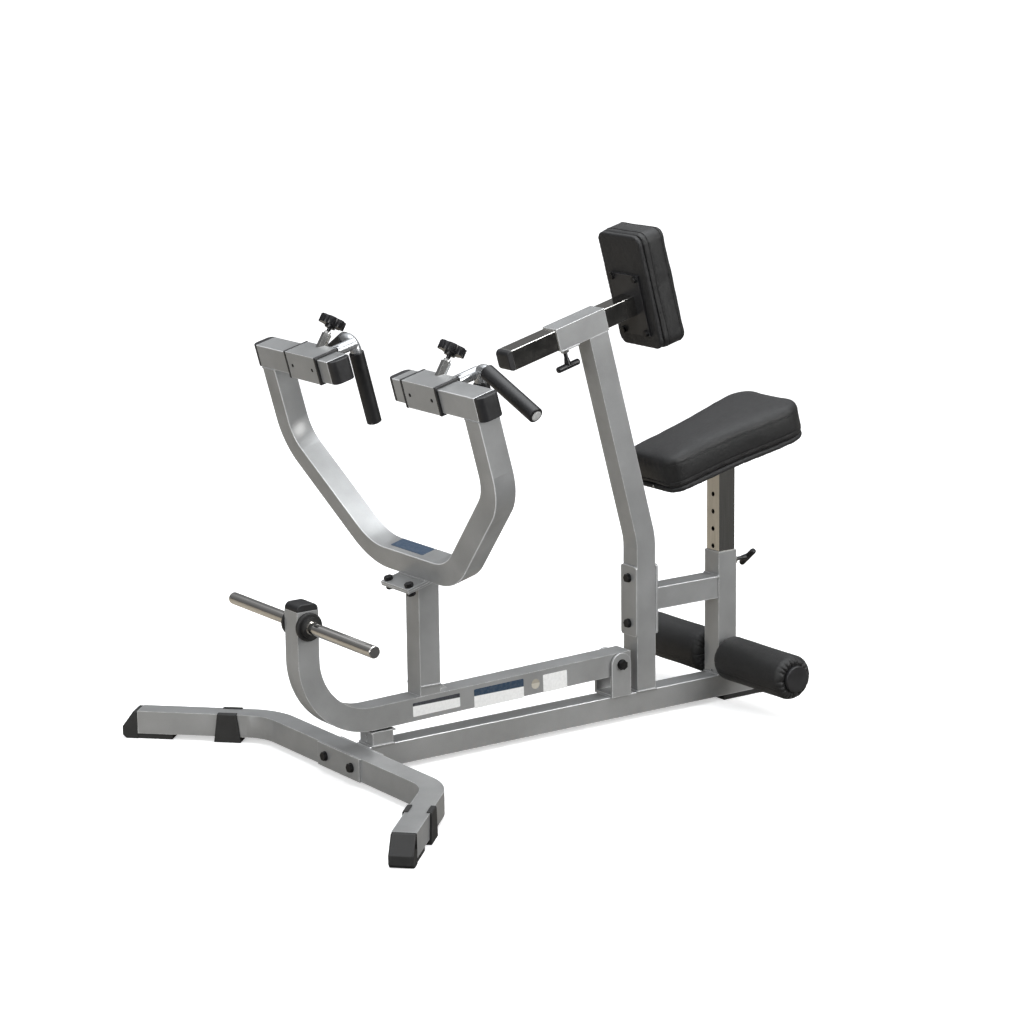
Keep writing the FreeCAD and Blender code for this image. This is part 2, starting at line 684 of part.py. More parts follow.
seat_board = seat_outline(seat_board_low, SEAT_LOW)
seat_pad = seat_outline(SEAT_LOW, SEAT_TOP)
seat_pad = round_ends(seat_pad, SEAT_EDGE, lambda c: c.z > SEAT_TOP - 0.01)
seat_bolts = []
for x in (-SEAT_BOLT_X, SEAT_BOLT_X):
    for y in (-SEAT_BOLT_Y, SEAT_BOLT_Y):
        head = hex_bar((x, y, seat_plate_low - 6.6), 13, 5, (0, 0, 1))
        washer = bar((x, y, seat_plate_low - 1.6), 8.0, 1.6, (0, 0, 1))
        shank_len = SEAT_PLATE_T + SEAT_BOARD_T - 2
        shank = bar((x, y, seat_plate_low), CHEST_BOLT_R, shank_len, (0, 0, 1))
        seat_bolts.append(shank.fuse([washer, head]).removeSplitter())
        hole = bar((x, y, seat_plate_low - 5), CHEST_BOLT_R, 5 + shank_len, (0, 0, 1))
        seat_plate = seat_plate.cut(hole)
        seat_board = seat_board.cut(hole)
add("seat_plate", tilted(seat_plate, SEAT_X, SEAT_Z))
add("seat_board", tilted(seat_board, SEAT_X, SEAT_Z))
add("seat_cushion", tilted(seat_pad, SEAT_X, SEAT_Z))
group("seat_bolts", [tilted(b, SEAT_X, SEAT_Z) for b in seat_bolts])

SEAT_REACH = 79.0
SEAT_BAR_TURN = 40.0
seat_pin = t_handle(POST_HALF + 0.6, SEAT_REACH, PULL_R, BAR_LEN, BAR_R)
seat_pin.rotate(V(0, 0, 0), V(0, 1, 0), 90)
seat_pin.rotate(V(0, 0, 0), V(1, 0, 0), 90 - SEAT_BAR_TURN)
seat_pin.translate(V(SEAT_X, 0, PIN_Z))
add("seat_pin", seat_pin)

# ---------------------------------------------------------------------------
# swing arm: bent lower beam, weight post, weight horn, short upright, yoke
# ---------------------------------------------------------------------------
slope = math.tan(math.radians(SWING_SLOPE))
swing_path = [
    (SWING_REAR, PIVOT_Z + (SWING_REAR - PIVOT_X) * slope),
    (HORN_X, PIVOT_Z + (HORN_X - PIVOT_X) * slope),
    (HORN_X, WPOST_TOP),
]
swing_outer, swing_tube = bent_tube(swing_path, [0, SWING_BEND, 0])
swing_outer = stand_xz(swing_outer)
swing_beam = stand_xz(swing_tube)
end_plate = swing_outer.common(box(SWING_REAR - 4, SWING_REAR + 10, -100, 100, 0, 300))
bush = bar((PIVOT_X, -HALF, PIVOT_Z), PIVOT_BUSH_R, TUBE, (0, 1, 0))
swing_beam = swing_beam.fuse([end_plate, bush]).removeSplitter()
swing_beam = swing_beam.cut(bar((PIVOT_X, -60, PIVOT_Z), PIVOT_R + RUN_GAP, 120, (0, 1, 0)))
COLLAR_R = 30.0
COLLAR_T = 9.0
STEP_R = 22.0
STEP_T = 9.0
HUB_R = 14.5
HUB_HALF = HALF + COLLAR_T + STEP_T
hub = bar((HORN_X, -HUB_HALF, HORN_Z), HUB_R, 2 * HUB_HALF, (0, 1, 0))
add("swing_beam", swing_beam.cut(hub))
horn = bar((HORN_X, -HORN_HALF, HORN_Z), HORN_R, 2 * HORN_HALF, (0, 1, 0))
horn = horn.makeChamfer(1.5, [e for e in horn.Edges if e.Closed])
add("weight_horn", horn.fuse(hub).removeSplitter())

collar = bar((HORN_X, HALF, HORN_Z), COLLAR_R, COLLAR_T, (0, 1, 0))
collar = round_ends(collar, 2.5, lambda c: c.y > HALF + COLLAR_T - 0.01)
collar = collar.fuse(bar((HORN_X, HALF + COLLAR_T, HORN_Z), STEP_R, STEP_T, (0, 1, 0)))
collar = collar.cut(hub)
group("horn_collars", [collar, mirrored(collar)])

WCAP_LEN = 15.0
wcap = smooth_cap(WCAP_LEN, HALF, 13.0)
wcap = wcap.fuse(box(-HALF + WALL, HALF - WALL, -HALF + WALL, HALF - WALL, -16, 0))
wcap.translate(V(HORN_X, 0, WPOST_TOP))
add("weight_post_cap", wcap.removeSplitter())

yoke_low = YOKE_LOW_Z - HALF
lower_top = yoke_low - FLANGE_T
lower_bottom = lower_top - FLANGE_T
arm = straight_tube(ARM_X - HALF, ARM_X + HALF, -HALF, HALF, 100, 500, WALL, "z")
arm = arm.cut(tilted(box(-400, 400, -100, 100, lower_bottom, 300), YOKE_X, YOKE_Z))
arm = arm.cut(swing_outer)
arm = max(arm.Solids, key=lambda s: s.CenterOfMass.z)
GUSSET_X = 32.0
GUSSET_Z = 26.0
GUSSET_HALF_T = 3.0
beam_top_here = PIVOT_Z + (ARM_X + HALF - PIVOT_X) * slope + HALF
corner = V(ARM_X + HALF, -GUSSET_HALF_T, beam_top_here - 4)
gusset_ring = [
    corner,
    corner + V(GUSSET_X, 0, 0),
    corner + V(GUSSET_X, 0, 4),
    corner + V(0, 0, 4 + GUSSET_Z),
    corner,
]
gusset = Part.Face(Part.makePolygon(gusset_ring)).extrude(V(0, 2 * GUSSET_HALF_T, 0))
gusset = gusset.cut(swing_outer)
lower = box(
    -FLANGE_HALF_X, FLANGE_HALF_X, -FLANGE_HALF_Y, FLANGE_HALF_Y, lower_bottom, lower_top
)
upper = box(-FLANGE_HALF_X, FLANGE_HALF_X, -FLANGE_HALF_Y, FLANGE_HALF_Y, lower_top, yoke_low)
FLANGE_BOLT_R = 5.0
flange_bolts = []
for x in (-FLANGE_BOLT_X, FLANGE_BOLT_X):
    for y in (-FLANGE_BOLT_Y, FLANGE_BOLT_Y):
        fastener = bolt((x, y, yoke_low), (0, 0, -1), 2 * FLANGE_T, FLANGE_BOLT_R, 17, 9.0)
        flange_bolts.append(tilted(fastener, YOKE_X, YOKE_Z))
        hole = bar((x, y, lower_bottom - 5), FLANGE_BOLT_R, 30, (0, 0, 1))
        lower = lower.cut(hole)
        upper = upper.cut(hole)
lower = tilted(lower, YOKE_X, YOKE_Z)
add("swing_upright", arm.fuse([gusset, lower]).removeSplitter())
add("yoke_flange", tilted(upper, YOKE_X, YOKE_Z))
group("flange_bolts", flange_bolts)

yoke_path = [
    (-YOKE_TOP_Y, -HALF),
    (-YOKE_TOP_Y, YOKE_BEND_Z),
    (-YOKE_LOW_Y, YOKE_LOW_Z),
    (YOKE_LOW_Y, YOKE_LOW_Z),
    (YOKE_TOP_Y, YOKE_BEND_Z),
    (YOKE_TOP_Y, -HALF),
]
yoke_radii = [0, YOKE_BEND, YOKE_LOW_BEND, YOKE_LOW_BEND, YOKE_BEND, 0]
yoke_tube = bent_tube(yoke_path, yoke_radii)[1]
add("yoke", tilted(stand_yz(yoke_tube), YOKE_X, YOKE_Z))

rail = straight_tube(-HALF, HALF, RAIL_IN, RAIL_OUT, -HALF, HALF, WALL, "y")
rail = tilted(rail, YOKE_X, YOKE_Z)
add("handle_rail_left", rail)
add("handle_rail_right", mirrored(rail))
rail_caps = []
for end, way in ((RAIL_OUT, -90), (RAIL_IN, 90)):
    cap = smooth_cap(CAP_LEN, HALF, 14.0)
    inner = HALF - WALL
    cap = cap.fuse(box(-inner, inner, -inner, inner, -16, 0)).removeSplitter()
    cap.rotate(V(0, 0, 0), V(1, 0, 0), way)
    cap.translate(V(0, end, 0))
    cap = tilted(cap, YOKE_X, YOKE_Z)
    rail_caps.extend([cap, mirrored(cap)])
group("rail_caps", rail_caps)

# ---------------------------------------------------------------------------
# handle carriages, drawn in the yoke's frame for the +Y side
# ---------------------------------------------------------------------------
half_len = CARR_LEN / 2
carr_bore = CARR_HALF - CARR_WALL
y0 = CARR_Y - half_len
y1 = CARR_Y + half_len
carriage = straight_tube(
    -CARR_HALF, CARR_HALF, y0, y1, -CARR_HALF, CARR_HALF, CARR_WALL, "y"
)
for dy in (-40, 40):
    carriage = carriage.cut(bar((-CARR_HALF - 1, CARR_Y + dy, 0), 3.5, CARR_WALL + 2, (1, 0, 0)))
corner_r = CARR_HALF * math.sqrt(2)


def diagonal(shape):
    """Turns a shape drawn along +Z from the tube's centre to the rear top corner."""
    moved = shape.copy()
    moved.rotate(V(0, 0, 0), V(0, 1, 0), 45)
    moved.translate(V(0, CARR_Y, 0))
    return moved


carriage = carriage.cut(diagonal(bar((0, 0, 0), PULL_R + RUN_GAP, 60, (0, 0, 1))))
BARREL_AF = 19.0
BARREL_TOP = corner_r + 26.0
barrel = hex_bar((0, 0, 0), BARREL_AF, BARREL_TOP, (0, 0, 1))
barrel = barrel.fuse(bar((0, 0, 0), 7.5, BARREL_TOP + 5, (0, 0, 1)))
barrel = diagonal(barrel.cut(bar((0, 0, -1), PULL_R + RUN_GAP, 90, (0, 0, 1))))
barrel = barrel.cut(box(-CARR_HALF, CARR_HALF, y0 - 9, y1 + 9, -CARR_HALF, CARR_HALF))

liners = []
for end, way in ((y0, 1), (y1, -1)):
    a = end - LINER_FLANGE * way
    b = end + LINER_IN_LEN * way
    lip = box(-LINER_OUT, LINER_OUT, min(a, end), max(a, end), -LINER_OUT, LINER_OUT)
    lip = round_ends(lip, 1.5, lambda c: max(abs(c.x), abs(c.z)) > LINER_OUT - 0.01)
    skirt = box(-carr_bore, carr_bore, min(end, b), max(end, b), -carr_bore, carr_bore)
    hollow = HALF + SLIDE_GAP
    void = box(-hollow, hollow, min(a, b) - 1, max(a, b) + 1, -hollow, hollow)
    liners.append(lip.fuse(skirt).removeSplitter().cut(void))

# handle: a bar behind the carriage that carries a bent tube with two grips
GRIP_Y = 8.0
GRIP_LOW = -180.0
APEX_Z = 25.6
REACH_Y = 182.0
REACH_Z = -65.0
HANDLE_BEND = 24.0
handle_path = [(GRIP_Y, GRIP_LOW), (GRIP_Y, APEX_Z), (REACH_Y, REACH_Z)]
bend = round_pipe(handle_path, [0, HANDLE_BEND, 0], HANDLE_R)
bend = stand_yz(bend)
bend.translate(V(HANDLE_D, CARR_Y, 0))
stem = bar((CARR_HALF, CARR_Y + 6, 3), HANDLE_R, HANDLE_D - CARR_HALF, (1, 0, 0))
handle = bend.fuse(stem).removeSplitter()

GRIP_TOP = -18.0
GRIP_START = 36.0
down = bar((HANDLE_D, CARR_Y + GRIP_Y, GRIP_LOW - 2), GRIP_R, GRIP_TOP - GRIP_LOW + 2, (0, 0, 1))
reach = V(0, REACH_Y - GRIP_Y, REACH_Z - APEX_Z)
reach_len = reach.Length
reach = reach.normalize()
start = V(HANDLE_D, CARR_Y + GRIP_Y, APEX_Z) + reach * GRIP_START
out = Part.makeCylinder(GRIP_R, reach_len - GRIP_START + 2, start, reach)
grips = []
for grip in (down, out):
    grip = grip.makeFillet(2.5, [e for e in grip.Edges if e.Closed])
    grips.append(grip.cut(bend))

KNOB_R = 29.0
KNOB_T = 18.0
KNOB_LOW = corner_r + 45.0
LOBES = 7
knob = Part.makeCylinder(KNOB_R, KNOB_T, V(0, 0, KNOB_LOW))
for i in range(LOBES):
    angle = 2 * math.pi * i / LOBES
    place = V((KNOB_R + 5) * math.cos(angle), (KNOB_R + 5) * math.sin(angle), KNOB_LOW - 1)
    knob = knob.cut(Part.makeCylinder(9.0, KNOB_T + 2, place))
knob = knob.fuse(Part.makeCylinder(12.0, KNOB_T + 6, V(0, 0, KNOB_LOW - 6)))
rod = Part.makeCylinder(PULL_R, KNOB_LOW - HALF * math.sqrt(2), V(0, 0, HALF * math.sqrt(2) + 0.6))
plunger = diagonal(knob.fuse(rod).removeSplitter())

for side in ("left", "right"):
    flip = mirrored if side == "right" else (lambda s: s)
    add("carriage_" + side, flip(tilted(carriage, YOKE_X, YOKE_Z)))
    group("liners_" + side, [flip(tilted(s, YOKE_X, YOKE_Z)) for s in liners])
    add("handle_" + side, flip(tilted(handle, YOKE_X, YOKE_Z)))
    group("grips_" + side, [flip(tilted(s, YOKE_X, YOKE_Z)) for s in grips])
    add("plunger_barrel_" + side, flip(tilted(barrel, YOKE_X, YOKE_Z)))
    add("plunger_" + side, flip(tilted(plunger, YOKE_X, YOKE_Z)))

for name, shape in parts.items():
    shape.translate(V(-CENTRE_X, 0, 0))
    shape.exportStep("parts/" + name + ".step")
    print(name, len(shape.Solids), shape.isValid(), round(shape.Volume / 1000, 1))
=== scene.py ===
import json
import math

import bmesh
import bpy
from mathutils import Matrix, Vector, noise
from mathutils.bvhtree import BVHTree


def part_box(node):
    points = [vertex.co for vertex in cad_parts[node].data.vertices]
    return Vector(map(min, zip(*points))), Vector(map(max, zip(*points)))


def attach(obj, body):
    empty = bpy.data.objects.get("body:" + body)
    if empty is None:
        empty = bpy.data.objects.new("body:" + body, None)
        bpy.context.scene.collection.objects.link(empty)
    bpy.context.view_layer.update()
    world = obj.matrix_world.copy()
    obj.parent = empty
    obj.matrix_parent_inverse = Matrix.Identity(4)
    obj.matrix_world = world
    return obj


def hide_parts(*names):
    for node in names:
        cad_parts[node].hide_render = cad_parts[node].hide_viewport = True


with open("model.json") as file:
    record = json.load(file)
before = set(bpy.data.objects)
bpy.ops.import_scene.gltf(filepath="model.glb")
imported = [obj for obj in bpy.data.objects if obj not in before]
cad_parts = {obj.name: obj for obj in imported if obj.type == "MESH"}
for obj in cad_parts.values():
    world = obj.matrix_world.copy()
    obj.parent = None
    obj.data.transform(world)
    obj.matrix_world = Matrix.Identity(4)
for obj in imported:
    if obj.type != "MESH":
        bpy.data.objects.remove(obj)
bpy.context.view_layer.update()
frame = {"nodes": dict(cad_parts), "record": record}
scene = bpy.context.scene
LEAN = math.radians(15)


def leaning(x, z):
    """The frame of a part that leans back by LEAN about a point on the middle plane."""
    return Matrix.Translation((x, 0, z)) @ Matrix.Rotation(-LEAN, 4, "Y")


UPRIGHT_X, SEAT_X, STOP_X = 0.3049, 0.5365, -0.3941
YOKE = leaning(-0.3864, 0.8458)
SLEEVE = leaning(0.0711, 0.8785)
SEAT = leaning(SEAT_X, 0.6418)
TUBE = 0.0254  # half the width of the square tubes
MIRROR = Matrix.Scale(-1, 4, (0, 1, 0))
SIDES = (("left", Matrix.Identity(4)), ("right", MIRROR))


# ---------------------------------------------------------------- materials
class Graph:
    """A node tree, with short calls to add a node with its sockets' values and to link two."""

    def __init__(self, owner):
        owner.use_nodes = True
        self.tree = owner.node_tree
        self.tree.nodes.clear()

    def add(self, kind, sockets=None, **values):
        node = self.tree.nodes.new(kind)
        for key, value in values.items():
            setattr(node, key, value)
        for key, value in (sockets or {}).items():
            node.inputs[key].default_value = value
        return node

    def link(self, a, b):
        self.tree.links.new(a, b)

    def ramp(self, value, low, high, start=0.0, end=1.0):
        """Value from start to end becomes low to high."""
        spans = {"From Min": start, "From Max": end, "To Min": low, "To Max": high}
        node = self.add("ShaderNodeMapRange", spans, clamp=True)
        self.link(value, node.inputs["Value"])
        return node.outputs[0]

    def blend(self, fac, a, b):
        """Shader a where fac is 0, shader b where it is 1."""
        node = self.add("ShaderNodeMixShader")
        for i, value in enumerate((fac, a.outputs[0], b.outputs[0])):
            self.link(value, node.inputs[i])
        return node

    def colours(self, value, stops):
        """A colour ramp over value, from (place, colour) stops in rising order."""
        node = self.add("ShaderNodeValToRGB")
        elements = node.color_ramp.elements
        elements[0].position, elements[0].color = stops[0]
        elements[1].position, elements[1].color = stops[-1]
        for place, colour in stops[1:-1]:
            elements.new(place).color = colour
        self.link(value, node.inputs[0])
        return node.outputs[0]


class Nodes(Graph):
    """A material with one principled shader, with short calls for its textures."""

    def __init__(self, name):
        self.mat = bpy.data.materials.new(name)
        super().__init__(self.mat)
        out = self.add("ShaderNodeOutputMaterial")
        self.bsdf = self.add("ShaderNodeBsdfPrincipled")
        self.link(self.bsdf.outputs[0], out.inputs["Surface"])
        self.coord = self.add("ShaderNodeTexCoord").outputs["Object"]

    def scaled(self, scale):
        node = self.add("ShaderNodeMapping", {"Scale": scale})
        self.link(self.coord, node.inputs["Vector"])
        return node.outputs[0]

    def noise(self, scale, detail=4.0, rough=0.55, vector=None):
        node = self.add("ShaderNodeTexNoise", {"Scale": scale, "Detail": detail, "Roughness": rough})
        self.link(vector or self.coord, node.inputs["Vector"])
        return node.outputs["Fac"]

    def cells(self, scale, feature="F1", vector=None):
        node = self.add("ShaderNodeTexVoronoi", {"Scale": scale}, feature=feature)
        self.link(vector or self.coord, node.inputs["Vector"])
        return node.outputs["Distance"]

    def math(self, kind, a, b):
        node = self.add("ShaderNodeMath", operation=kind, use_clamp=False)
        for i, value in enumerate((a, b)):
            if isinstance(value, (int, float)):
                node.inputs[i].default_value = value
            else:
                self.link(value, node.inputs[i])
        return node.outputs[0]

    def mix(self, fac, a, b):
        node = self.add("ShaderNodeMix", data_type="RGBA")
        self.link(fac, node.inputs["Factor"])
        for i, value in ((6, a), (7, b)):
            if isinstance(value, tuple):
                node.inputs[i].default_value = value + (1,)
            else:
                self.link(value, node.inputs[i])
        return node.outputs[2]

    def bump(self, height, distance, strength=1.0, under=None):
        node = self.add("ShaderNodeBump", {"Strength": strength, "Distance": distance})
        self.link(height, node.inputs["Height"])
        if under is not None:
            self.link(under, node.inputs["Normal"])
        return node.outputs[0]

    def edges(self, radius, start=0.02, end=0.25):
        """1 on corners and rims, 0 on flat faces."""
        soft = self.add("ShaderNodeBevel", {"Radius": radius}, samples=4)
        sharp = self.add("ShaderNodeNewGeometry")
        dot = self.add("ShaderNodeVectorMath", operation="DOT_PRODUCT")
        self.link(soft.outputs[0], dot.inputs[0])
        self.link(sharp.outputs["Normal"], dot.inputs[1])
        return self.ramp(self.math("SUBTRACT", 1.0, dot.outputs["Value"]), 0.0, 1.0, start, end)

    def set(self, **sockets):
        """Values and links for the principled shader's sockets; returns the material."""
        for key, value in sockets.items():
            socket = self.bsdf.inputs[key.replace("_", " ")]
            if isinstance(value, (int, float, tuple)):
                socket.default_value = value + (1,) if isinstance(value, tuple) else value
            else:
                self.link(value, socket)
        return self.mat


def paint(name, dark, light, metal, rough, flake=0.35, highlight_gain=2.1):
    """Metallic powder coat: flake sparkle, orange peel, faint smears, and corners and rims lightened
    towards near white as a painted highlight.
    """
    n = Nodes(name)
    cloud = n.ramp(n.noise(9, 5), 0, 1, 0.3, 0.7)
    speck = n.ramp(n.cells(1500), 0, 1, 0.1, 0.75)
    tone = n.math("ADD", n.math("MULTIPLY", cloud, 1 - flake), n.math("MULTIPLY", speck, flake))
    base = n.mix(tone, dark, light)
    # painted highlight: corners and rims, broken up by noise, are lightened towards a pale tone
    painted_edge_highlight = n.math("MULTIPLY", n.edges(0.0030, 0.01, 0.16), n.ramp(n.noise(45, 3), 0.35, 1.0, 0.35, 0.65))
    pale = tuple(min(1.0, c * highlight_gain + 0.03) for c in light)
    smear = n.noise(1, 5, 0.6, n.scaled((14, 14, 3)))
    roughness = n.ramp(smear, rough - 0.06, rough + 0.09, 0.3, 0.7)
    peel = n.bump(n.noise(420, 2), 0.00022, 0.5)
    peel = n.bump(n.noise(2600, 1), 0.00006, 0.4, peel)
    return n.set(Base_Color=n.mix(painted_edge_highlight, base, pale), Metallic=metal, Roughness=roughness, Normal=peel)


def bright(name, dark, light, rough, streak=(60, 60, 2)):
    """Plated bar: long polishing streaks, finger smears and specks of dulling."""
    n = Nodes(name)
    lines = n.noise(6, 3, 0.5, n.scaled(streak))
    smear = n.ramp(n.noise(22, 5, 0.65), 0, 1, 0.35, 0.7)
    pits = n.ramp(n.cells(420), 1, 0, 0.02, 0.12)
    tone = n.math("MULTIPLY", n.ramp(lines, 0.5, 1, 0.3, 0.7), n.ramp(smear, 1, 0.75))
    base = n.mix(tone, dark, light)
    spread = n.math("ADD", n.ramp(smear, rough, rough + 0.12), n.math("MULTIPLY", pits, 0.1))
    scratch = n.bump(lines, 0.00003, 0.5)
    return n.set(Base_Color=base, Metallic=1.0, Roughness=spread, Normal=scratch)


def vinyl(name, dark, light, rough=0.43):
    """Upholstery vinyl: leather grain, broad creases and shinier high spots."""
    n = Nodes(name)
    warp = n.add("ShaderNodeTexNoise", {"Scale": 130})
    n.link(n.coord, warp.inputs["Vector"])
    shift = n.add("ShaderNodeVectorMath", operation="SCALE")
    n.link(warp.outputs["Color"], shift.inputs[0])
    shift.inputs["Scale"].default_value = 0.004
    place = n.add("ShaderNodeVectorMath", operation="ADD")
    n.link(n.coord, place.inputs[0])
    n.link(shift.outputs[0], place.inputs[1])
    grain = n.cells(620, "DISTANCE_TO_EDGE", place.outputs[0])
    grain = n.ramp(grain, 0, 1, 0.0, 0.28)
    fine = n.noise(2400, 2)
    broad = n.noise(17, 4, 0.6)
    tone = n.math("MULTIPLY", n.ramp(grain, 0.55, 1.0), n.ramp(broad, 0.6, 1.0, 0.3, 0.7))
    base = n.mix(tone, dark, light)
    roughness = n.math("ADD", n.ramp(grain, rough + 0.14, rough), n.ramp(broad, -0.05, 0.07, 0.3, 0.7))
    relief = n.bump(broad, 0.0016, 0.35)
    relief = n.bump(grain, 0.00018, 0.75, relief)
    relief = n.bump(fine, 0.00004, 0.4, relief)
    n.set(Specular_IOR_Level=0.5, Sheen_Weight=0.06)
    return n.set(Base_Color=base, Roughness=roughness, Normal=relief)


def moulded(name, dark, light, rough, scale=900, depth=0.00012, metal=0.0, rim=0.5):
    """Moulded plastic or rubber: fine spark texture, cloudy gloss, scuffed corners."""
    n = Nodes(name)
    fine = n.noise(scale, 3, 0.6)
    cloud = n.noise(30, 4, 0.6)
    base = n.mix(n.ramp(cloud, 0, 1, 0.3, 0.7), dark, light)
    pale = tuple(c * 2.4 + 0.012 for c in light)
    scuff = n.math("MULTIPLY", n.edges(0.0015), n.ramp(n.noise(90, 3), 0, rim, 0.4, 0.7))
    roughness = n.math("ADD", n.ramp(cloud, rough - 0.05, rough + 0.07, 0.3, 0.7), n.ramp(fine, 0, 0.06))
    return n.set(
        Base_Color=n.mix(scuff, base, pale),
        Metallic=metal,
        Roughness=roughness,
        Normal=n.bump(fine, depth, 0.6),
    )


PAINT = paint("frame_paint", (0.29, 0.293, 0.293), (0.415, 0.42, 0.423), 0.42, 0.34)
BLACK_PAINT = paint("black_paint", (0.012, 0.012, 0.013), (0.022, 0.022, 0.024), 0.1, 0.36, 0.15)
CHROME = bright("chrome_posts", (0.42, 0.405, 0.37), (0.72, 0.70, 0.66), 0.06)
HORN = bright("chrome_horn", (0.66, 0.64, 0.61), (0.92, 0.90, 0.87), 0.05, (60, 2, 60))
ZINC = bright("plated_steel", (0.42, 0.42, 0.41), (0.66, 0.66, 0.64), 0.22, (30, 30, 30))
SILVER = paint("handle_silver", (0.40, 0.41, 0.42), (0.55, 0.56, 0.575), 0.75, 0.24, 0.2)
VINYL = vinyl("black_vinyl", (0.004, 0.004, 0.0043), (0.0105, 0.0105, 0.011), 0.42)
WRAP = vinyl("board_wrap", (0.006, 0.006, 0.0065), (0.012, 0.012, 0.013), 0.46)
RUBBER = moulded("foot_rubber", (0.014, 0.014, 0.014), (0.026, 0.026, 0.026), 0.62, 700, 0.0002)
COLLAR = moulded("collar_rubber", (0.010, 0.010, 0.010), (0.020, 0.020, 0.020), 0.5, 900, 0.00015)
PLASTIC = moulded("black_plastic", (0.012, 0.012, 0.013), (0.022, 0.022, 0.024), 0.38)
KNOB = moulded("knob_plastic", (0.008, 0.008, 0.009), (0.014, 0.014, 0.016), 0.24, 600, 0.00005)
GRIP = moulded("grip_rubber", (0.007, 0.007, 0.008), (0.014, 0.014, 0.015), 0.36, 420, 0.00025)
BOLT = moulded("black_bolts", (0.016, 0.016, 0.017), (0.032, 0.032, 0.033), 0.33, 1200, 0.00005, 0.7, 1.0)
PLUG = moulded("grip_plug", (0.40, 0.40, 0.40), (0.52, 0.52, 0.51), 0.42)
THREAD = moulded("seam_thread", (0.006, 0.006, 0.006), (0.014, 0.014, 0.014), 0.6, 1500, 0.0001)

# near-white copies of the paint and the chrome for the bevels: painted highlight lines along the edges
PAINT_EDGE_HIGHLIGHT = paint("frame_paint_edge_highlight", (0.74, 0.75, 0.76), (0.95, 0.96, 0.97), 0.35, 0.20, 0.15, 1.0)
CHROME_EDGE_HIGHLIGHT = bright("chrome_edge_highlight", (0.60, 0.59, 0.57), (0.95, 0.94, 0.92), 0.10)

# the near-white painted highlight that bevelled edges carry, and each slot's look with the width of its
# bevels
edge_highlight_look = {"frame_paint": PAINT_EDGE_HIGHLIGHT, "chrome_posts": CHROME_EDGE_HIGHLIGHT}
by_slot = {
    "frame_paint": (PAINT, 0.00145),
    "black_paint": (BLACK_PAINT, 0.0010),
    "black_bolts": (BOLT, 0.0007),
    "foot_rubber": (RUBBER, 0.0020),
    "chrome_posts": (CHROME, 0.0012),
    "plated_steel": (ZINC, 0.0006),
    "handle_silver": (SILVER, 0.0008),
    "black_plastic": (PLASTIC, 0.0012),
    "knob_plastic": (KNOB, 0.0016),
    "grip_rubber": (GRIP, 0.0),
    "black_vinyl": (VINYL, 0.0),
    "pad_board": (WRAP, 0.0),
    "collar_rubber": (COLLAR, 0.0),
}
# parts that differ from the rest of their slot
own_look = {
    "weight_horn": (HORN, 0.0),
    "horn_collars": (COLLAR, 0.0),
    "handle_left": (SILVER, 0.0),
    "handle_right": (SILVER, 0.0),
    "liners_left": (PLASTIC, 0.0006),
    "liners_right": (PLASTIC, 0.0006),
}
JOIN_GAP = 0.00001
FLAT_ANGLE = math.radians(0.5)
SHARP_ANGLE = math.radians(40)
slot_of = {s["node"]: s["material_slot"] for s in frame["record"]["subparts"]}
for name, obj in frame["nodes"].items():
    look, width = own_look.get(name, by_slot[slot_of[name]])
    for place in obj.material_slots:
        place.material = look
    if not obj.material_slots:
        obj.data.materials.append(look)
    if width:
        join = obj.modifiers.new("join", "WELD")
        join.merge_threshold = JOIN_GAP
        flat = obj.modifiers.new("flat", "DECIMATE")
        flat.decimate_type = "DISSOLVE"
        flat.angle_limit = FLAT_ANGLE
        bevel = obj.modifiers.new("edge", "BEVEL")
        bevel.width = width
        bevel.segments = 3
        bevel.limit_method = "ANGLE"
        bevel.angle_limit = SHARP_ANGLE
        bevel.use_clamp_overlap = True
        bevel.harden_normals = True
        # the faces of the bevels take the near-white copy, a painted highlight along the edges
        if slot_of[name] in edge_highlight_look:
            obj.data.materials.append(edge_highlight_look[slot_of[name]])
            bevel.material = len(obj.data.materials) - 1


# ---------------------------------------------------------------- mesh tools
def piece(name, verts, faces, body, look, slot, smooth=True):
    """A mesh object in the scene that rides a body and carries a look; its slot argument is not used."""
    mesh = bpy.data.meshes.new(name)
    mesh.from_pydata([tuple(v) for v in verts], [], faces)
    mesh.update()
    check = bmesh.new()
    check.from_mesh(mesh)
    bmesh.ops.recalc_face_normals(check, faces=check.faces)
    check.to_mesh(mesh)
    check.free()
    mesh.polygons.foreach_set("use_smooth", [smooth] * len(mesh.polygons))
    obj = bpy.data.objects.new(name, mesh)
    scene.collection.objects.link(obj)
    mesh.materials.append(look)
    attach(obj, body)
    return obj


def joined(parts):
    """One vertex and face list from several."""
    verts, faces = [], []
    for v, f in parts:
        base = len(verts)
        verts += v
        faces += [tuple(i + base for i in face) for face in f]
    return verts, faces


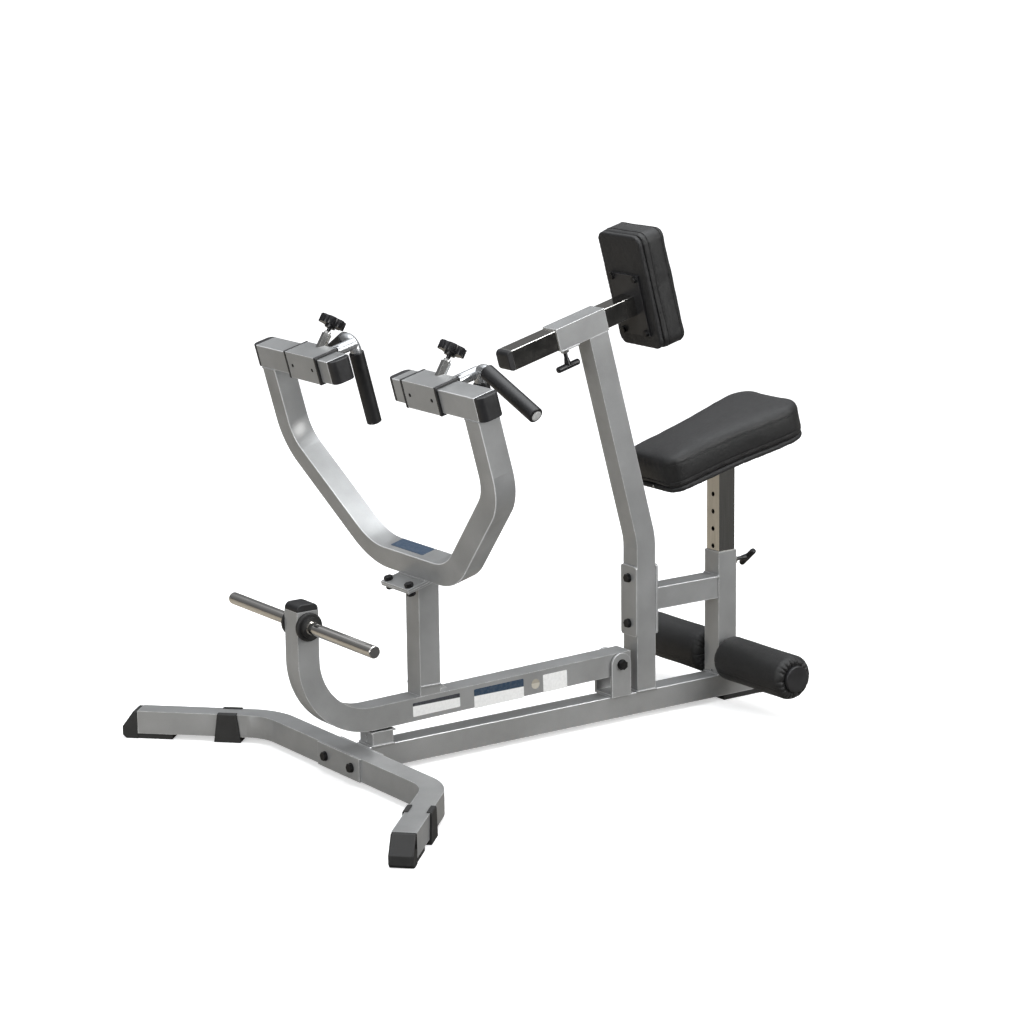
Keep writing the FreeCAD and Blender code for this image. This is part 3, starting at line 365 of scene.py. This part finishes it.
def sweep(path, radius, sides=10, closed=False, ripple=0.0, pitch=0.0026, seed=0.0):
    """A round bead along a path of points, with an uneven, rippled surface."""
    verts, faces = [], []
    count = len(path)
    run = 0.0
    up = Vector((0, 0, 1))
    for i, p in enumerate(path):
        before = path[i - 1] if i or closed else p
        after = path[(i + 1) % count] if i < count - 1 or closed else p
        way = (after - before).normalized()
        if i:
            run += (p - path[i - 1]).length
        side = way.cross(up)
        if side.length < 0.2:
            side = way.cross(Vector((0.3, 1, 0)))
        side.normalize()
        lift = side.cross(way)
        wave = math.sin(run * 2 * math.pi / pitch) + noise.noise(p * 240 + Vector((seed, 0, 0)))
        size = radius * (1 + ripple * wave)
        if not closed and i in (0, count - 1):
            size *= 0.45
        for k in range(sides):
            a = 2 * math.pi * k / sides
            verts.append(p + (side * math.cos(a) + lift * math.sin(a)) * size)
    last = count if closed else count - 1
    for i in range(last):
        j = (i + 1) % count
        for k in range(sides):
            m = (k + 1) % sides
            faces.append((i * sides + k, i * sides + m, j * sides + m, j * sides + k))
    if not closed:
        faces.append(tuple(range(sides - 1, -1, -1)))
        faces.append(tuple(range((count - 1) * sides, count * sides)))
    return verts, faces


def fine(points, step=0.0011, closed=False):
    """The same line with a point every step or so."""
    out = []
    pairs = list(zip(points, points[1:] + points[:1])) if closed else list(zip(points, points[1:]))
    for a, b in pairs:
        n = max(1, int((b - a).length / step))
        out += [a.lerp(b, i / n) for i in range(n)]
    if not closed:
        out.append(points[-1])
    return out


def ring(matrix, hx, hy, corner=0.003, z=0.0):
    """A rounded rectangle of points about a tube, in matrix's XY plane."""
    points = []
    for cx, cy, a0 in ((hx, hy, 0), (-hx, hy, 90), (-hx, -hy, 180), (hx, -hy, 270)):
        for step in range(5):
            a = math.radians(a0 + step * 22.5)
            x = cx - math.copysign(corner, cx) + corner * math.cos(a)
            y = cy - math.copysign(corner, cy) + corner * math.sin(a)
            points.append(matrix @ Vector((x, y, z)))
    return points


def weld(name, paths, body, radius=0.0028, closed=True):
    """One piece of rippled beads, one along each path."""
    parts = []
    for i, path in enumerate(paths):
        line = fine(path, closed=closed)
        parts.append(sweep(line, radius, 8, closed, 0.14, 0.0026 + 0.0002 * (i % 3), i * 3.7))
    return piece(name, *joined(parts), body, PAINT, "frame_paint")


def turned(profile, matrix, segments=48):
    """A solid of revolution about matrix's Z from (radius, height) points, closed at both ends."""
    verts, faces = [], []
    for r, z in profile:
        for k in range(segments):
            a = 2 * math.pi * k / segments
            verts.append(matrix @ Vector((r * math.cos(a), r * math.sin(a), z)))
    for i in range(len(profile) - 1):
        for k in range(segments):
            m = (k + 1) % segments
            a, b = i * segments, (i + 1) * segments
            faces.append((a + k, a + m, b + m, b + k))
    faces.append(tuple(range(segments - 1, -1, -1)))
    top = (len(profile) - 1) * segments
    faces.append(tuple(range(top, top + segments)))
    return verts, faces


def outline_box(points, low, high, matrix):
    """A thin plate from an outline drawn in XY."""
    n = len(points)
    verts = [matrix @ Vector((x, y, z)) for z in (low, high) for x, y in points]
    faces = [tuple(range(n - 1, -1, -1)), tuple(range(n, 2 * n))]
    faces += [(i, (i + 1) % n, n + (i + 1) % n, n + i) for i in range(n)]
    return verts, faces


def aim(point, way):
    """A matrix at point whose Z runs along way."""
    return Matrix.Translation(point) @ Vector(way).to_track_quat("Z", "Y").to_matrix().to_4x4()


def circle(matrix, radius, count):
    """Points round matrix's Z."""
    turns = [2 * math.pi * k / count for k in range(count)]
    return [matrix @ Vector((radius * math.cos(a), radius * math.sin(a), 0)) for a in turns]


def across(axis):
    """The two axes square to axis."""
    return [i for i in range(3) if i != axis]


def shaded_smooth(obj):
    obj.data.polygons.foreach_set("use_smooth", [True] * len(obj.data.polygons))


# ---------------------------------------------------------------- pads
PAD_VOXEL, BOARD_VOXEL = 0.0048, 0.0028
PAD_INSET, BOARD_INSET = 0.0006, 0.0030  # clear of the sides of the CAD shape
PRESSURE, CLOTH_FRAMES = 4.0, 20
FARTHEST = 0.010
EVEN_ROUNDS = 10
BLOWN = 0.32  # the share of the cloth's movement that is kept
THREAD_R = 0.0006
TOP_SEAM, BASE_SEAM = 0.0005, 0.0009  # the depths of the seams' grooves


def evened(mesh, moves, rounds):
    """Spreads each point's movement over its neighbours, so that the skin stays taut."""
    near = [[] for _ in mesh.vertices]
    for edge in mesh.edges:
        a, b = edge.vertices
        near[a].append(b)
        near[b].append(a)
    for _ in range(rounds):
        moves = [
            move * 0.5 + sum((moves[j] for j in near[i]), Vector()) * (0.5 / max(1, len(near[i])))
            for i, move in enumerate(moves)
        ]
    return moves


def swell(node, matrix, low_axis, low, crown, taper):
    """A crowned pad from a CAD cushion: remeshed, blown up as cloth, held to its space.

    In the frame of matrix, the pad sits on its board at low along low_axis, rises by up
    to crown in its middle, and narrows by taper towards its front.
    """
    mesh = frame["nodes"][node].data.copy()
    back = matrix.inverted()
    work = bmesh.new()
    work.from_mesh(mesh)
    for v in work.verts:
        v.co = back @ v.co
    spans = [
        (min(v.co[i] for v in work.verts), max(v.co[i] for v in work.verts)) for i in range(3)
    ]
    for v in work.verts:
        for i in range(3):
            a, b = spans[i]
            middle, half = (a + b) / 2, (b - a) / 2
            if i == low_axis:
                v.co[i] = a + (v.co[i] - a) * (b - a - PAD_INSET) / (b - a)
            else:
                v.co[i] = middle + (v.co[i] - middle) * (half - PAD_INSET) / half
    work.to_mesh(mesh)
    work.free()
    obj = bpy.data.objects.new(node + "_foam", mesh)
    scene.collection.objects.link(obj)
    mesh.materials.clear()
    remesh = obj.modifiers.new("voxels", "REMESH")
    remesh.mode = "VOXEL"
    remesh.voxel_size = PAD_VOXEL
    bpy.context.view_layer.objects.active = obj
    obj.select_set(True)
    bpy.ops.object.modifier_apply(modifier=remesh.name)
    rest = [v.co.copy() for v in obj.data.vertices]
    cloth = obj.modifiers.new("cloth", "CLOTH")
    cloth.settings.use_pressure = True
    cloth.settings.uniform_pressure_force = PRESSURE
    cloth.settings.effector_weights.gravity = 0
    cloth.settings.quality = 4
    cloth.collision_settings.use_collision = False
    for f in range(1, CLOTH_FRAMES + 1):
        scene.frame_set(f)
    bpy.ops.object.modifier_apply(modifier=cloth.name)
    scene.frame_set(1)
    mid = [(a + b) / 2 for a, b in spans]
    moves = []
    for v, start in zip(obj.data.vertices, rest):
        move = v.co - start
        if move.length > FARTHEST:
            move *= FARTHEST / move.length
        moves.append(move)
    moves = evened(obj.data, moves, EVEN_ROUNDS)
    for v, start, move in zip(obj.data.vertices, rest, moves):
        place = start + move * BLOWN
        # a gentle crown over the face, flat where the pad sits on its board
        face = (start[low_axis] - low) / (spans[low_axis][1] - low)
        rim = 1.0
        for i in across(low_axis):
            a, b = spans[i]
            half = (b - a) / 2
            if i == 1:
                half *= 1 - taper * (spans[0][1] - start[0]) / (spans[0][1] - spans[0][0])
            rim *= max(0.0, 1 - min(1.0, abs(start[i] - mid[i]) / half) ** 3)
        place[low_axis] += crown * max(0.0, face) ** 3 * rim
        place[low_axis] = max(low, place[low_axis])
        v.co = place
    divide = obj.modifiers.new("finer", "SUBSURF")
    divide.levels = divide.render_levels = 1
    bpy.ops.object.modifier_apply(modifier=divide.name)
    obj.select_set(False)
    return obj, spans


def seam_path(obj, axis, level, centre, count=260, out=0.0006):
    """Points round the outside of a pad at one level along an axis."""
    work = bmesh.new()
    work.from_mesh(obj.data)
    tree = BVHTree.FromBMesh(work)
    work.free()
    u, w = across(axis)
    path = []
    for k in range(count):
        a = 2 * math.pi * k / count
        home = Vector((0, 0, 0))
        home[axis] = level
        home[u], home[w] = centre[u], centre[w]
        far = home.copy()
        far[u] += 0.5 * math.cos(a)
        far[w] += 0.5 * math.sin(a)
        way = (home - far).normalized()
        spot = tree.ray_cast(far, way)[0]
        if spot is not None:
            path.append(spot - way * out)
    return path


def groove(obj, axis, level, depth, width=0.0030):
    """Draws a pad's skin in along a seam round its sides."""
    u, w = across(axis)
    normals = [v.normal.copy() for v in obj.data.vertices]
    for v, normal in zip(obj.data.vertices, normals):
        gap = (v.co[axis] - level) / width
        if abs(gap) < 3:
            side = Vector((0, 0, 0))
            side[u], side[w] = normal[u], normal[w]
            pull = depth * math.exp(-gap * gap) * min(1.0, side.length * 1.4)
            if side.length > 0.05:
                v.co -= side.normalized() * pull


def gathers(obj, axis, level, centre, count, height=0.0009, reach=0.012):
    """Small puckers beside a seam, deeper towards it."""
    u, w = across(axis)
    normals = [v.normal.copy() for v in obj.data.vertices]
    for v, normal in zip(obj.data.vertices, normals):
        gap = abs(v.co[axis] - level)
        if gap < reach:
            a = math.atan2(v.co[w] - centre[w], v.co[u] - centre[u])
            wave = noise.noise(Vector((math.cos(a), math.sin(a), 0)) * count)
            fade = (1 - gap / reach) * min(1.0, gap / 0.003)
            v.co += normal * wave * height * fade


def hourglass(p):
    """Draws the seat in at its waist and out at its back, in the seat's own frame."""
    waist = -0.055 * math.exp(-(((p.x + 0.065) / 0.075) ** 2))
    hip = 0.030 * math.exp(-(((p.x - 0.070) / 0.060) ** 2))
    p.y *= 1 + waist + hip


def finish_pad(obj, matrix, body, node, name, seams, axis, spans, puckers):
    """Draws in seams, given as level along axis and depth, lays their thread, and hands over the pad."""
    centre = [(a + b) / 2 for a, b in spans]
    for level, depth in seams:
        groove(obj, axis, level, depth)
        gathers(obj, axis, level, centre, puckers)
    obj.data.update()
    lines = []
    for level, depth in seams:
        path = seam_path(obj, axis, level, centre)
        lines.append(sweep(path, THREAD_R + depth * 0.3, 8, True, 0.10, 0.0034))
    for v in obj.data.vertices:
        v.co = matrix @ v.co
    obj.data.update()
    obj.name = name
    obj.data.materials.append(VINYL)
    shaded_smooth(obj)
    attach(obj, body)
    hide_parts(node)
    verts, faces = joined(lines)
    piece(name + "_seams", [matrix @ v for v in verts], faces, body, THREAD, "black_vinyl")


seat_pad, seat_span = swell("seat_cushion", SEAT, low_axis=2, low=-0.062, crown=0.007, taper=0.29)
for v in seat_pad.data.vertices:
    hourglass(v.co)
finish_pad(
    seat_pad, SEAT, "seat", "seat_cushion", "seat_pad",
    seams=[(-0.0090, TOP_SEAM), (-0.0500, BASE_SEAM)], axis=2, spans=seat_span, puckers=26,
)
chest_pad, chest_span = swell("chest_cushion", SLEEVE, low_axis=0, low=0.235, crown=0.009, taper=0.0)
finish_pad(
    chest_pad, SLEEVE, "chest", "chest_cushion", "chest_pad",
    seams=[(0.2840, TOP_SEAM), (0.2480, BASE_SEAM)], axis=0, spans=chest_span, puckers=22,
)


def wrapped_board(node, name, matrix, axis, spans, body):
    """A padded board with soft rolled edges, drawn in a little from its pad's sides."""
    mesh = frame["nodes"][node].data.copy()
    back = matrix.inverted()
    obj = bpy.data.objects.new(name, mesh)
    scene.collection.objects.link(obj)
    remesh = obj.modifiers.new("voxels", "REMESH")
    remesh.mode = "VOXEL"
    remesh.voxel_size = BOARD_VOXEL
    smooth = obj.modifiers.new("roll", "SMOOTH")
    smooth.factor = 0.6
    smooth.iterations = 7
    bpy.context.view_layer.objects.active = obj
    bpy.ops.object.modifier_apply(modifier="voxels")
    bpy.ops.object.modifier_apply(modifier="roll")
    normals = [v.normal.copy() for v in obj.data.vertices]
    for v, normal in zip(obj.data.vertices, normals):
        p = back @ v.co
        wrinkle = noise.noise(p * 70) * 0.6 + noise.noise(p * 190) * 0.3
        p += (back.to_3x3() @ normal) * wrinkle * 0.0007
        for i in range(3):
            if i != axis:
                a, b = spans[i]
                p[i] = (a + b) / 2 + (p[i] - (a + b) / 2) * (1 - BOARD_INSET / ((b - a) / 2))
        if axis == 2:
            hourglass(p)
        v.co = matrix @ p
    obj.data.materials.clear()
    obj.data.materials.append(WRAP)
    shaded_smooth(obj)
    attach(obj, body)
    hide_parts(node)


wrapped_board("seat_board", "seat_board_wrap", SEAT, 2, seat_span, "seat")
wrapped_board("chest_board", "chest_board_wrap", SLEEVE, 0, chest_span, "chest")

# ---------------------------------------------------------------- small screws
trim_screw = [
    (0.0002, 0.0019), (0.0012, 0.0018), (0.0024, 0.0012),
    (0.0030, 0.0), (0.0030, -0.0030), (0.0002, -0.0031),
]
SEAT_FRONT = (-0.2196, -0.005, -0.0655)
head = turned(trim_screw, SEAT @ aim(SEAT_FRONT, (-1, 0, 0)), 24)
piece("seat_trim_screw", *head, "seat", ZINC, "plated_steel")

# two black screws seated in the holes of each carriage's face
face_screw = [
    (0.0001, 0.0013), (0.0022, 0.0012), (0.0038, 0.0006),
    (0.0043, 0.0001), (0.0033, 0.0001), (0.0033, -0.0015),
]
CARR_FACE, CARR_Y, SCREW_Y = 0.0300, 0.2300, 0.0400
for side, way in (("left", 1), ("right", -1)):
    places = [Vector((-CARR_FACE, way * (CARR_Y + dy), 0)) for dy in (-SCREW_Y, SCREW_Y)]
    heads = [turned(face_screw, YOKE @ aim(place, (-1, 0, 0)), 24) for place in places]
    piece(f"carriage_screws_{side}", *joined(heads), f"handle_carriage_{side}", BOLT, "black_bolts")

# ---------------------------------------------------------------- foam rollers
ROLLER_X, ROLLER_Z = SEAT_X, 0.103
ROLLER_IN, ROLLER_OUT, ROLLER_R, SHOULDER = 0.0305, 0.2635, 0.051, 0.0165
BORE_R, RIM_R, CAP_R = 0.0135, 0.047, 0.0312
ROLLER_LENGTH = ROLLER_OUT - ROLLER_IN
SKIN_IN = 0.0007  # the cover's round side stays this far inside the CAD roller
PLEATS, PLEAT_LENGTH = 20, 0.026
PLEAT_RISE, PLEAT_SINK, LUMP = 0.0022, 0.0034, 0.0009
SEAM_TURN, SEAM_WIDE, SEAM_DEEP = 3.6, 0.03, 0.0009
AROUND = 176


def risen(value, start, span):
    """0 up to start, then 1 from start + span on."""
    return min(1.0, max(0.0, (value - start) / span))


def roller_profile(flat=9, bend=8, straight=40):
    """Radius and distance along the roller, from the bore's inner end round to its outer end."""
    crest = ROLLER_R - SHOULDER
    end = [(0.0132, 0.0004)]
    end += [(BORE_R + (crest - BORE_R) * (i + 1) / flat, 0.0) for i in range(flat)]
    for i in range(1, bend + 1):
        a = math.radians(90 * i / bend)
        end.append((crest + SHOULDER * math.sin(a), SHOULDER - SHOULDER * math.cos(a)))
    side = ROLLER_LENGTH - 2 * SHOULDER
    middle = [(ROLLER_R, SHOULDER + side * i / straight) for i in range(1, straight)]
    return end + middle + [(r, ROLLER_LENGTH - z) for r, z in end][::-1]


def gathered(r, z, a, sign):
    """Where the cover lies at angle a, for a point r, z of the profile: its radius and distance along."""
    near_frame = z < ROLLER_LENGTH / 2
    end = min(z, ROLLER_LENGTH - z)
    fold = PLEATS * a / 2 + 0.9 * math.sin(3 * a) + 0.5 * math.sin(7 * a + 1)
    pleat = 2 * abs(math.sin(fold)) ** 0.55 - 1
    depth = 0.75 + 0.5 * noise.noise(Vector((math.cos(a) * 3, math.sin(a) * 3, sign)))
    reach = depth * max(0.0, 1 - end / PLEAT_LENGTH) ** 1.3 * risen(r, 0.020, 0.010)
    lump = noise.noise(Vector((math.cos(a) * 1.6, math.sin(a) * 1.6, z * 16)))
    out = r + PLEAT_RISE * min(0.15, pleat) * reach + (LUMP * lump if r > 0.03 else 0)
    out -= SKIN_IN if r > 0.04 else 0
    sink = PLEAT_SINK * (0.2 - pleat) * reach * min(1.0, max(0.0, (RIM_R - r) / 0.006))
    # pleats stand out only round the outer disc, never towards the frame
    if sink < 0:
        sink = max(sink, -0.0006) if near_frame else sink * risen(r, CAP_R, 0.004)
    away = math.atan2(math.sin(a - SEAM_TURN), math.cos(a - SEAM_TURN))
    out -= SEAM_DEEP * math.exp(-((away / SEAM_WIDE) ** 2)) if r > 0.045 else 0
    return out, z + (sink if near_frame else -sink)


def roller(name, node, body, sign):
    """A foam roller about Y in a sewn cover, gathered round its end discs."""
    profile = roller_profile()
    rows = len(profile)
    verts, faces = [], []
    for r, z in profile:
        for k in range(AROUND):
            a = 2 * math.pi * k / AROUND
            out, along = gathered(r, z, a, sign)
            x, height = ROLLER_X + out * math.cos(a), ROLLER_Z + out * math.sin(a)
            verts.append(Vector((x, sign * (ROLLER_IN + along), height)))
    # the last row joins the first along the bore, which closes the ring
    for i in range(rows):
        j = (i + 1) % rows
        for k in range(AROUND):
            m = (k + 1) % AROUND
            faces.append((i * AROUND + k, i * AROUND + m, j * AROUND + m, j * AROUND + k))
    obj = piece(name, verts, faces, body, VINYL, "black_vinyl")
    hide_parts(node)


roller("roller_pad_left", "roller_left", "roller_left_body", 1)
roller("roller_pad_right", "roller_right", "roller_right_body", -1)

# ---------------------------------------------------------------- weld beads
BEAM_TOP = 0.0628
NEAR, OFF = 0.0012, 0.0008  # how far a bead's line stands off its tube
posts = [Matrix.Translation((x, 0, BEAM_TOP + 0.0006)) for x in (UPRIGHT_X, SEAT_X, STOP_X)]
weld("frame_welds", [ring(post, TUBE + NEAR, TUBE + NEAR) for post in posts], "frame")

low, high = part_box("pivot_bracket")
lines = []
for side in (1, -1):
    y = side * (TUBE - 0.0015)
    lines.append([Vector((x, y, BEAM_TOP + 0.001)) for x in (low[0], high[0])])
weld("bracket_welds", lines, "frame", 0.0026, False)

tube_joint = Matrix.Translation((0.5111, 0, 0.2698)) @ Matrix.Rotation(math.radians(90), 4, "Y")
weld("seat_frame_weld", [ring(tube_joint, TUBE + 0.001, TUBE + 0.001, z=-OFF)], "frame", 0.0024)

lines = []
for side in (1, -1):
    y = side * (TUBE + 0.0004)
    lines.append([SLEEVE @ Vector((x, y, -TUBE)) for x in (0.0, 2 * TUBE)])
weld("sleeve_welds", lines, "frame", 0.0024, False)

# the swing upright on its beam, and the yoke's lowest tube on its flange
ARM_X, YOKE_LOW, FLANGE_HALF = -0.2725, -0.4446, 0.050
lines = []
for side in (1, -1):
    y = side * (TUBE + OFF)
    lines.append([Vector((ARM_X - TUBE, y, 0.1735)), Vector((ARM_X + TUBE, y, 0.1725))])
    x = side * (TUBE + 0.001)
    lines.append([YOKE @ Vector((x, y, YOKE_LOW)) for y in (-FLANGE_HALF, FLANGE_HALF)])
weld("swing_welds", lines, "swing", 0.0026, False)

# the yoke's ends under their rails, and each handle's bar on its carriage
YOKE_END = Matrix.Translation((0, 0.3936, -0.0262))
STEM = aim((0.0302, 0.236, 0.003), (1, 0, 0))
STEM_R = 0.0132
for side, flip in SIDES:
    rail = flip @ YOKE
    weld(f"rail_weld_{side}", [ring(rail @ YOKE_END, TUBE + 0.0002, TUBE + 0.0002)], "swing", 0.0018)
    weld(f"stem_weld_{side}", [circle(rail @ STEM, STEM_R, 40)], f"handle_carriage_{side}", 0.0024)

# ---------------------------------------------------------------- grip plugs
plug = [
    (0.0002, -0.004), (0.0096, -0.004), (0.0104, 0.0), (0.0108, 0.0006),
    (0.0106, 0.0016), (0.0092, 0.0024), (0.0002, 0.0027),
]
# the outer ends of each handle's slanting and hanging grip
slant = Vector((0, 0.174, -0.0906)).normalized()
slant_end = Vector((0.110, 0.412, -0.065)) + slant * 0.002
drop_end = Vector((0.110, 0.238, -0.182))
for side, flip in SIDES:
    ends = [flip @ YOKE @ aim(slant_end, slant), flip @ YOKE @ aim(drop_end, (0, 0, -1))]
    parts = [turned(plug, end) for end in ends]
    piece(f"grip_plugs_{side}", *joined(parts), f"handle_carriage_{side}", PLUG, "grip_rubber")


# ---------------------------------------------------------------- blank labels
def label_look(name, field, band, split):
    """Printed film: one plain field with a plain band above the height split."""
    n = Nodes(name)
    part = n.add("ShaderNodeSeparateXYZ")
    n.link(n.coord, part.inputs[0])
    mask = n.ramp(part.outputs["Z"], 0, 1, split - 0.0002, split + 0.0002)
    scuff = n.ramp(n.noise(160, 4), 0.86, 1.0, 0.3, 0.6)
    base = n.mix(mask, field, band)
    dirty = n.mix(scuff, (0.30, 0.29, 0.27), base)
    gloss = n.ramp(n.noise(40, 3), 0.28, 0.42, 0.3, 0.7)
    return n.set(Base_Color=dirty, Roughness=gloss, Normal=n.bump(n.noise(900, 2), 0.00003, 0.4))


def rounded(w, h, r, steps=5):
    """A rounded rectangle, with half sizes w and h."""
    points = []
    corners = ((w - r, h - r, 0), (-w + r, h - r, 90), (-w + r, -h + r, 180), (w - r, -h + r, 270))
    for cx, cy, a0 in corners:
        for k in range(steps + 1):
            a = math.radians(a0 + 90 * k / steps)
            points.append((cx + r * math.cos(a), cy + r * math.sin(a)))
    return points


# the swing beam's side, which slopes a little
SLOPE = math.radians(1.15)
side_face = Matrix.Rotation(-SLOPE, 4, "Y") @ Matrix.Rotation(math.radians(90), 4, "X")


def label(name, outline, thick, place, look):
    piece(name, *outline_box(rounded(*outline), 0, thick, place), "swing", look, "frame_paint", False)


white = (0.86, 0.86, 0.85)
NOTICE = label_look("label_dark_header", white, (0.035, 0.038, 0.048), 0.1335)
BLUE = label_look("label_blue_header", white, (0.018, 0.045, 0.085), 0.1290)
PALE = label_look("label_plain", white, (0.62, 0.63, 0.63), 0.150)
SEAL = label_look("label_seal", (0.50, 0.47, 0.40), (0.36, 0.33, 0.27), 0.131)
BADGE = label_look("badge_blue", (0.016, 0.040, 0.078), (0.028, 0.060, 0.11), 0.4600)
for name, x, z, outline, look in (
    ("label_long", -0.2580, 0.1265, (0.060, 0.0150, 0.002), NOTICE),
    ("label_wide", -0.0960, 0.1240, (0.0650, 0.0215, 0.003), BLUE),
    ("label_round", 0.0005, 0.1290, (0.0110, 0.0110, 0.01095), SEAL),
    ("label_square", 0.0530, 0.1265, (0.0320, 0.0200, 0.002), PALE),
):
    label(name, outline, 0.00035, Matrix.Translation((x, -TUBE - 0.00005, z)) @ side_face, look)
yoke_floor = YOKE @ Matrix.Translation((0.006, 0.024, -0.3942))
label("yoke_badge", (0.0165, 0.062, 0.003), 0.0008, yoke_floor, BADGE)

# ---------------------------------------------------------------- stage
# the floor is near white to the eye and glows more with distance; in shine it is
# dark on one side and warm on the other, and it gives back less light than it shows
floor_mat = bpy.data.materials.new("stage_floor")
f = Graph(floor_mat)
f_out = f.add("ShaderNodeOutputMaterial")
f_place = f.add("ShaderNodeTexCoord").outputs["Object"]
f_ray = f.add("ShaderNodeLightPath")
pale = f.add("ShaderNodeBsdfDiffuse", {0: (0.95, 0.95, 0.95, 1)})
glow = f.add("ShaderNodeEmission", {0: (1, 1, 1, 1)})
far = f.add("ShaderNodeVectorMath", operation="LENGTH")
f.link(f_place, far.inputs[0])
f.link(f.ramp(far.outputs["Value"], 0.50, 1.0, 1.2, 6.0), glow.inputs[1])
shown = f.add("ShaderNodeAddShader")
f.link(pale.outputs[0], shown.inputs[0])
f.link(glow.outputs[0], shown.inputs[1])
bounce = f.add("ShaderNodeBsdfDiffuse", {0: (0.42, 0.42, 0.42, 1)})
split = f.add("ShaderNodeSeparateXYZ")
f.link(f_place, split.inputs[0])
tones = {6: (0.07, 0.07, 0.07, 1), 7: (0.40, 0.36, 0.30, 1)}
tint = f.add("ShaderNodeMix", tones, data_type="RGBA")
f.link(f.ramp(split.outputs["Y"], 0.0, 1.0, -1.0, 0.6), tint.inputs[0])
shine = f.add("ShaderNodeBsdfDiffuse")
f.link(tint.outputs[2], shine.inputs[0])
direct = f.blend(f_ray.outputs["Is Camera Ray"], bounce, shown)
f.link(f.blend(f_ray.outputs["Is Glossy Ray"], direct, shine).outputs[0], f_out.inputs[0])
FLOOR = 60
corners = [(-FLOOR, -FLOOR, 0), (FLOOR, -FLOOR, 0), (FLOOR, FLOOR, 0), (-FLOOR, FLOOR, 0)]
floor_mesh = bpy.data.meshes.new("floor")
floor_mesh.from_pydata(corners, [], [(0, 1, 2, 3)])
floor_mesh.materials.append(floor_mat)
floor = bpy.data.objects.new("floor", floor_mesh)
scene.collection.objects.link(floor)

# white to the eye, a soft sky as light, and banded in shine
world = bpy.data.worlds.new("studio")
scene.world = world
w = Graph(world)
w_out = w.add("ShaderNodeOutputWorld")
w_ray = w.add("ShaderNodeLightPath")
w_split = w.add("ShaderNodeSeparateXYZ")
w.link(w.add("ShaderNodeTexCoord").outputs["Generated"], w_split.inputs[0])
height = w_split.outputs["Z"]
backdrop = w.add("ShaderNodeBackground", {0: (1, 1, 1, 1), 1: 1.05})
sky = w.add("ShaderNodeBackground", {1: 0.34})
sky_stops = [(0.0, (0.36, 0.35, 0.34, 1)), (0.85, (1.0, 1.03, 1.08, 1))]
w.link(w.colours(height, sky_stops), sky.inputs[0])
mirrored = w.add("ShaderNodeBackground", {1: 1.0})
bands = [(at, (v, v * 1.01, v * 1.03, 1)) for at, v in ((0.30, 0.13), (0.52, 0.22), (0.64, 0.90))]
bands = [(0.0, (0.13, 0.125, 0.12, 1)), *bands, (1.0, (1.1, 1.13, 1.18, 1))]
w.link(w.colours(height, bands), mirrored.inputs[0])
direct = w.blend(w_ray.outputs["Is Camera Ray"], sky, backdrop)
w.link(w.blend(w_ray.outputs["Is Glossy Ray"], direct, mirrored).outputs[0], w_out.inputs[0])


def softbox(name, place, target, size, power, tint):
    lamp = bpy.data.lights.new(name, "AREA")
    lamp.shape = "RECTANGLE"
    lamp.size, lamp.size_y = size
    lamp.energy = power
    lamp.color = tint
    obj = bpy.data.objects.new(name, lamp)
    scene.collection.objects.link(obj)
    obj.location = place
    obj.rotation_euler = (Vector(target) - Vector(place)).to_track_quat("-Z", "Y").to_euler()
    return obj


softbox("overhead", (0.1, -0.3, 3.6), (0, 0, 0.4), (3.4, 3.4), 98, (0.97, 0.99, 1.0))
softbox("key", (1.8, -3.6, 2.0), (0, 0, 0.5), (2.4, 2.0), 105, (1.0, 0.995, 0.98))
rear = softbox("rear_fill", (0.4, 3.6, 2.4), (0, 0, 0.5), (2.6, 1.8), 34, (0.97, 0.985, 1.0))
rear.visible_glossy = False
softbox("front_fill", (-4.3, -1.5, 1.7), (0, 0, 0.5), (2.6, 2.2), 92, (1.0, 1.0, 0.99))

# ---------------------------------------------------------------- camera
lens = bpy.data.cameras.new("camera")
lens.lens = 104.53
lens.sensor_width = 36
lens.clip_end = 200
camera = bpy.data.objects.new("camera", lens)
scene.collection.objects.link(camera)
yaw, roll = math.radians(-34.646), math.radians(-0.739)
forward = Vector((0.5553, 0.8036, -0.2142)).normalized()
flat = Vector((math.cos(yaw), math.sin(yaw), 0))
rise = flat.cross(forward)
right = flat * math.cos(roll) + rise * math.sin(roll)
above = rise * math.cos(roll) - flat * math.sin(roll)
turn = Matrix((right, above, -forward)).transposed().to_4x4()
camera.matrix_world = Matrix.Translation((-3.59405, -5.14544, 1.88544)) @ turn
scene.camera = camera
scene.view_settings.view_transform = "Standard"
scene.view_settings.look = "None"
